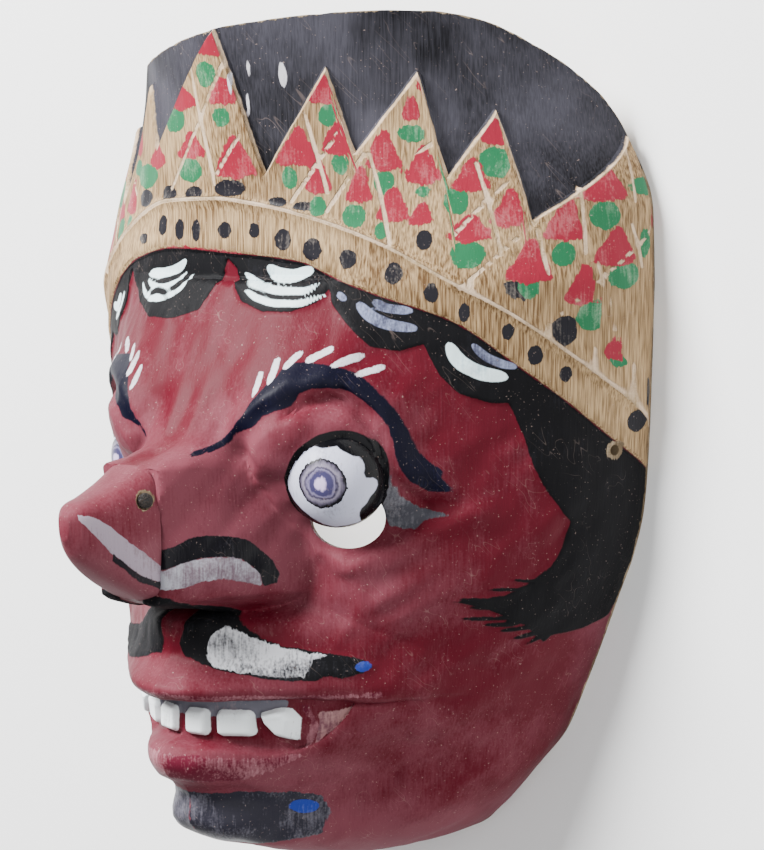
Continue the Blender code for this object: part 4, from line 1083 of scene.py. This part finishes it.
def eyeball(side, rings=40, sides=72):
    """The carved ball, flattened behind where it sinks into the wood."""
    radius = EYE_DIAMETER / 2
    back = EYE_BACK if side > 0 else FAR_EYE_BACK
    points = []
    for turn in np.linspace(np.pi, 0, rings + 1)[1:-1]:
        flat = radius * max(np.cos(turn), back)
        for t in np.linspace(0, 2 * np.pi, sides, endpoint=False):
            points.append((radius * np.sin(turn) * np.cos(t), radius * np.sin(turn) * np.sin(t), flat))
    faces = skin(rings - 1, sides, False) + [tuple(range(sides))[::-1]]
    last = (rings - 2) * sides
    points.append((0, 0, radius))
    faces += [(last + k, last + (k + 1) % sides, len(points) - 1) for k in range(sides)]
    return add_object(f"eyeball {side}", np.array(points) + eye_centre(side), faces)


def combine(obj, other, operation):
    """Joins another closed form to the object or cuts it out, once the modifiers are applied."""
    modifier = obj.modifiers.new(other.name, "BOOLEAN")
    modifier.operation = operation
    modifier.object = other
    modifier.solver = "MANIFOLD"


# Where, size of a scoop and its depth: gouge marks in the hollow, knife facets outside, both in mm.
SCOOPS = (("scooped", (5.0, 14.0, 5.0), 0.9), ("faceted", (3.5, 7.0, 3.5), 0.25))
points = np.concatenate([middle(outside).reshape(-1, 3), middle(hollow).reshape(-1, 3)])
points = np.clip(points, np.array(cad_box[0]) / MM, np.array(cad_box[1]) / MM)  # never past the model's box
first = outside_along.size
faces = np.concatenate([
    grid_faces(outside, 0, True), grid_faces(hollow, first, False),
    zip_borders(border(outside, 0), border(hollow, first)),
])
shell_object = add_object("shell", points, faces)
fade = ease(points[:, 2] / 3.0)
is_outside = np.arange(len(points)) < first
add_attribute(shell_object.data, "scooped", np.where(is_outside, 0, fade))
add_attribute(shell_object.data, "faceted", np.where(is_outside, fade, 0))
tree = gouge_tree()
for where, size, depth in SCOOPS:
    gouge(shell_object, tree, size, depth, where, mask_paint)
carved = baked(shell_object, "carved shell")
print("carved shell:", len(carved.data.polygons), "faces")

# %% Cut the slits, set the eyes, drill the holes
helpers = []
turn, tilt = np.radians(SLIT_TURN), np.radians(SLIT_TILT)
for side in (-1, 1):
    axis = Vector((side * np.sin(turn) * np.cos(tilt), np.sin(tilt), np.cos(turn) * np.cos(tilt)))
    centre = Vector(middle((side * (EYE_SIDE + SLIT_OUT), EYE_LEVEL - SLIT_DROP, EYE_DEPTH)).tolist())
    slit = prism(f"slit {side}", centre - axis * CUT_REACH / 2, axis, CUT_REACH, (SLIT_WIDTH / 2, SLIT_HEIGHT / 2))
    helpers.append((slit, "DIFFERENCE"))
for side in (-1, 1):
    helpers.append((eyeball(side), "UNION"))
    start = Vector(middle((side * WIDTH / 3, STRAP_LEVEL, STRAP_DEPTH)).tolist())
    helpers.append((prism(f"hole {side}", start, (side, 0, 0), CUT_REACH, (STRAP_HOLE / 2,) * 2, 24), "DIFFERENCE"))

turn = np.radians(NAIL_TURN)
nail_out = Vector((np.cos(turn), 0, np.sin(turn)))
nail_place = Vector(middle((TIP[0][1] - 0.5, NAIL_PLACE[0], SEAM_DEPTH + NAIL_PLACE[1])).tolist())
foot = nail_place - nail_out * (NAIL_LENGTH + GAP)
bore = prism("nail bore", foot, nail_out, NAIL_LENGTH + GAP, (NAIL_SHANK / 2 + GAP,) * 2, 20)
helpers.append((bore, "DIFFERENCE"))
for other, operation in helpers:
    combine(carved, other, operation)
mask = baked(carved, "painted_mask")
print("mask:", len(mask.data.polygons), "faces,", len(mask.data.vertices), "points")


# %% Give every point its distances to the paint's edges
def point_array(mesh):
    """The points of a mesh in drawn millimetres, as the model places them."""
    co = np.empty(len(mesh.vertices) * 3, np.float32)
    mesh.vertices.foreach_get("co", co)
    return co.reshape(-1, 3).astype(float) / MM


at = point_array(mask.data)
grid = middle(outside).reshape(-1, 3)
tree_of_points = kdtree.KDTree(len(grid))
for number, point in enumerate(grid):
    tree_of_points.insert(point, number)
tree_of_points.balance()
found = [tree_of_points.find(point) for point in at]
nearest = np.array([hit[1] for hit in found])
distance = np.array([hit[2] for hit in found])
s = outside_along.ravel()[nearest]
drawn = at + (0, (LOWEST + HIGHEST) / 2, 0)
x, y, z = drawn.T
marks = marks_on_mask(s, x, y, z)

# The balls carry their own marks, drawn on the plane that looks at them.
on_ball = np.zeros(len(at), bool)
iris = np.full(len(at), 50.0)
marks["eye_black"] = np.full(len(at), -3.0)
marks["eye_white"] = np.full(len(at), -3.0)
for side in (-1, 1):
    ray = (at - eye_centre(side)) * (side, 1, 1)
    ball = (np.linalg.norm(ray, axis=1) < EYE_DIAMETER / 2 + 0.02) & (ray[:, 2] > -6)
    front = np.array(EYE_FRONT)
    right = np.array([front[2], 0, -front[0]]) / np.hypot(front[0], front[2])
    above = np.cross(front, right)
    u, v = ray @ right, ray @ above
    angle = np.arccos(np.clip(ray @ np.array(GAZE) / (EYE_DIAMETER / 2), -1, 1))
    marks["eye_black"][ball] = 2.0
    marks["eye_white"][ball] = np.where(ray[ball] @ front > 0.5, inside(u[ball], v[ball], EYE_WHITE), -3.0)
    iris[ball] = (angle * EYE_DIAMETER / 2)[ball]
    on_ball |= ball
    # The lining runs on over the rim of the lid, wide above and thin below, and round the slit.
    away = np.linalg.norm(ray, axis=1) - EYE_DIAMETER / 2
    wide = 0.35 + 1.1 * ease((v + 4) / 9)
    lining = np.where(ray[:, 2] > -6, wide - away, UNMARKED)
    marks["eye_black"] = np.maximum(marks["eye_black"], np.where(ball, 2.0, np.where(x * side > 0, lining, -3.0)))
wood = (distance > 0.8) & ~on_ball
for name in marks:
    marks[name] = np.where(wood | (on_ball & (name[:3] != "eye")), UNMARKED, marks[name])

TOP_WORN, RIM_WORN = 0.2, 0.9
near_top = np.linalg.norm(grid[nearest] - middle(outside[-1])[nearest % outside.shape[1]], axis=1)
from_hole = np.where(np.abs(x) > WIDTH / 3, np.hypot(y - STRAP_LEVEL, z - STRAP_DEPTH) - STRAP_HOLE / 2, 9.0)
# Bare wood shows inside, and in a narrow worn line along the crown's edge, the rim and the strap holes.
worn_edge = np.maximum(TOP_WORN - near_top, np.maximum(RIM_WORN - z, RIM_WORN - from_hole))
marks["bare"] = np.where(wood, 3.0, np.maximum(worn_edge, -5.0))

# Where the crimson turns rose, on both sides, partly worn by hands and partly painted light on faces lit directly and
# by reflection: distance from the midline, height, radii, strength.
ROSE_WEAR_AND_LIGHT = (
    (0, 26, 26, 24, 0.05), (16, 0, 16, 24, 1.2), (31, 12, 17, 15, 0.8), (33, -18, 20, 13, 0.75),
    (0, -42, 40, 9, 0.5), (0, -62, 40, 12, 1.0), (0, -80, 64, 17, 1.25), (34, -56, 20, 14, 0.5),
)
handled = np.zeros(len(at))
for cx, cy, rx, ry, strength in ROSE_WEAR_AND_LIGHT:
    handled = np.maximum(handled, strength * ease(1.6 - 1.3 * np.hypot((np.abs(x) - cx) / rx, (y - cy) / ry)))
# Rose low on both sides of the jaw as well, partly wear and partly painted light from reflection.
handled = np.maximum(handled, 1.3 * ease((np.abs(s) - 76) / 18) * ease((-20 - y) / 12))
marks["handled"], marks["iris"] = handled, iris
for name, values in marks.items():
    add_attribute(mask.data, name, np.maximum(values, UNMARKED))
mask.data.shade_smooth()
mask.data.set_sharp_from_angle(angle=np.radians(50))
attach(mask, "root")
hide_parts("mask")
print("marks on", int((~wood).sum()), "painted points")

# %% [markdown]
# ## The tip of the nose
# The nose was longer than the block, or broke, so its front is a second piece, set on the square cut and nailed.
# It is carved as rings whose section changes from a rounded box at the seam to an oval at the tip. Its widest line
# carries a grey-white stripe, as the wing of the nose does behind it.

# %% Carve the tip
# The stripe on its side, by share of its reach: middle and half width.
STRIPE = ((0, -14.1, 1.7), (0.3, -10.6, 2.6), (0.6, -6, 2.6), (0.8, -2.4, 1.7), (0.93, -0.6, 0.3))
# the tip sits hard on the cut, closer than the two solids may
CONTACT = 0.02  # the tip sits hard on the cut, closer than the gap between the other pieces
TIP_RINGS, TIP_SIDES = 64, 112
rings = []
for share in np.linspace(0, 1, TIP_RINGS) ** 0.8:
    half, top, widest, low, power = [float(value) for value in columns(TIP, share)]
    t = np.linspace(0, 2 * np.pi, TIP_SIDES, endpoint=False)
    px = half * np.sign(np.cos(t)) * np.abs(np.cos(t)) ** (2 / power)
    rise = np.abs(np.sin(t)) ** (2 / power)
    py = np.where(np.sin(t) > 0, widest + (top - widest) * rise, widest - (widest - low) * rise)
    rings.append(np.stack([px, py, np.full(TIP_SIDES, SEAM_DEPTH + share * NOSE_REACH)], 1))
tip_block = add_object("tip block", middle(np.array(rings)) + (0, 0, CONTACT), skin(TIP_RINGS, TIP_SIDES))
pit = prism("nail pit", nail_place - nail_out * NAIL_PIT, nail_out, CUT_REACH / 8, (NAIL_HEAD / 2 + GAP,) * 2, 28)
combine(tip_block, pit, "DIFFERENCE")
combine(tip_block, bore, "DIFFERENCE")
tip = baked(tip_block, "nailed_tip")

at = point_array(tip.data)
drawn = at + (0, (LOWEST + HIGHEST) / 2, -CONTACT)
share = np.clip((drawn[:, 2] - SEAM_DEPTH) / NOSE_REACH, 0, 1)
line, wide = columns(STRIPE, share)
stripe = np.where(share < STRIPE[-1][0], wide - np.abs(drawn[:, 1] - line), UNMARKED)
stripe_edge = np.where(share < 0.6, 0.7 - np.abs(drawn[:, 1] - line + wide + 0.5), UNMARKED)
pit_axis = np.cross(at - np.array(nail_place), np.array(nail_out))
in_pit = 2.1 - np.linalg.norm(pit_axis, axis=1)
in_pit[drawn[:, 0] < 0] = UNMARKED
# The tip is rose all over and more so towards its underside: partly wear, partly painted light where reflected light
# falls from below.
handled = 0.6 + 0.5 * ease((-drawn[:, 1] - 4) / 8)
tip_marks = {"stripe": stripe, "stripe_edge": stripe_edge, "handled": handled, "bare": np.maximum(in_pit, UNMARKED)}
for name, values in tip_marks.items():
    add_attribute(tip.data, name, values)
tip.data.materials.clear()
tip.data.materials.append(tip_paint)
tip.data.shade_smooth()
tip.data.set_sharp_from_angle(angle=np.radians(50))
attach(tip, "root")
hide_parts("nose_tip")
print("nose tip:", len(tip.data.polygons), "faces")

# %% [markdown]
# ## The nail
# A hand-forged iron nail, rusted brown-black, sits at the bottom of its pit. Its head is a little domed by the
# hammer and its shank runs back at a slant into the nose.

# %% Forge the nail
NAIL_SIDES = 32
shank, head, under = NAIL_SHANK / 2, NAIL_HEAD / 2, GAP - NAIL_PIT
top = under + NAIL_HEAD_THICKNESS
profile = (
    (shank * 0.6, -NAIL_LENGTH), (shank, -NAIL_LENGTH + 1.2), (shank, under), (head * 0.9, under),
    (head, under + 0.15), (head, top - 0.3), (head * 0.8, top - 0.12), (head * 0.4, top),
)
across = Vector((0, 1, 0)).cross(nail_out).normalized()
upward = nail_out.cross(across)
points = []
for radius, reach in profile:
    for t in np.linspace(0, 2 * np.pi, NAIL_SIDES, endpoint=False):
        points.append(nail_place + nail_out * reach + (across * np.cos(t) + upward * np.sin(t)) * radius)
nail = add_object("forged_nail", [tuple(p) for p in points], skin(len(profile), NAIL_SIDES))

iron, tree, shader = new_material("forged iron, rusted")
place = add(tree, "ShaderNodeTexCoord").outputs["Object"]
# Rust in specks of 0.4 mm.
rust = ramped(tree, noise(tree, place, 2500.0, 4.0), 0.4, 0.6)
tint = blend(tree, rust, colour("#100e0d"), colour("#261b15"))
bump = add(tree, "ShaderNodeBump", {"Height": rust, "Strength": 0.5, "Distance": 0.2 * MM})
tree.links.new(tint, shader.inputs["Base Color"])
tree.links.new(bump.outputs[0], shader.inputs["Normal"])
shader.inputs["Metallic"].default_value = 0.3
shader.inputs["Roughness"].default_value = 0.6
nail.data.materials.append(iron)
nail.data.shade_smooth()
nail.data.set_sharp_from_angle(angle=np.radians(40))
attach(nail, "root")
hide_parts("nose_nail")
for helper in [shell_object, carved, tip_block, pit] + [other for other, _ in helpers]:
    bpy.data.objects.remove(helper)
print("nail:", len(nail.data.polygons), "faces")

# %% [markdown]
# ## Floor, light and camera
# The mask lies on its back on a pale studio floor. In the photograph it is upright, so the camera here looks down
# on it, at the angle and distance that were fitted to its outline.

# %% Floor
FLOOR_HALF = 3000.0
corners = [(FLOOR_HALF * a, FLOOR_HALF * b, 0) for a, b in ((-1, -1), (1, -1), (1, 1), (-1, 1))]
floor = add_object("studio_floor", corners, [(0, 1, 2, 3)])
paper, tree, shader = new_material("matte paper")
shader.inputs["Base Color"].default_value = colour("#fafafa")
shader.inputs["Roughness"].default_value = 0.9
floor.data.materials.append(paper)

# %% Lights
world = bpy.data.worlds.new("studio")
bpy.context.scene.world = world
world.use_nodes = True
for socket, value in (("Color", (1, 1, 1, 1)), ("Strength", 0.32)):
    world.node_tree.nodes["Background"].inputs[socket].default_value = value


def soft_light(name, place, size, power, towards=(0, 0, 0.04)):
    """A round lamp: its place and size in metres, its power in watts."""
    lamp = bpy.data.lights.new(name, "AREA")
    lamp.shape, lamp.size, lamp.energy = "DISK", size, power
    obj = linked(name, lamp)
    obj.location = place
    obj.rotation_euler = (Vector(towards) - Vector(place)).to_track_quat("-Z", "Y").to_euler()


soft_light("window", (-0.42, 0.75, 0.85), 0.55, 62)
soft_light("room", (0.75, 0.05, 0.8), 1.2, 8)
# The slit shows the floor lit from the mask's open back, so a small lamp stands for that light.
soft_light("under the mask", (-0.003, -0.012, 0.044), 0.02, 0.042, (-0.003, -0.012, 0.0))

# %% Camera
lens = bpy.data.cameras.new("camera")
lens.sensor_fit, lens.sensor_width, lens.lens = "HORIZONTAL", 36.0, 104.2
lens.shift_x, lens.shift_y = 0.0204, 0.0559
camera = linked("camera", lens)
eye, target = [Vector(middle(place).tolist()) * MM for place in ((318.0, 60.65, 415.4), (0.0, 0.0, 8.4))]
camera.location = eye
back = (eye - target).normalized()
right = Vector((0, 1, 0)).cross(back).normalized()
above = back.cross(right)
roll = np.radians(-0.2)
right, above = right * np.cos(roll) + above * np.sin(roll), above * np.cos(roll) - right * np.sin(roll)
camera.rotation_euler = Matrix((right, above, back)).transposed().to_euler()
bpy.context.scene.camera = camera

# %% Finish
bpy.context.view_layer.update()
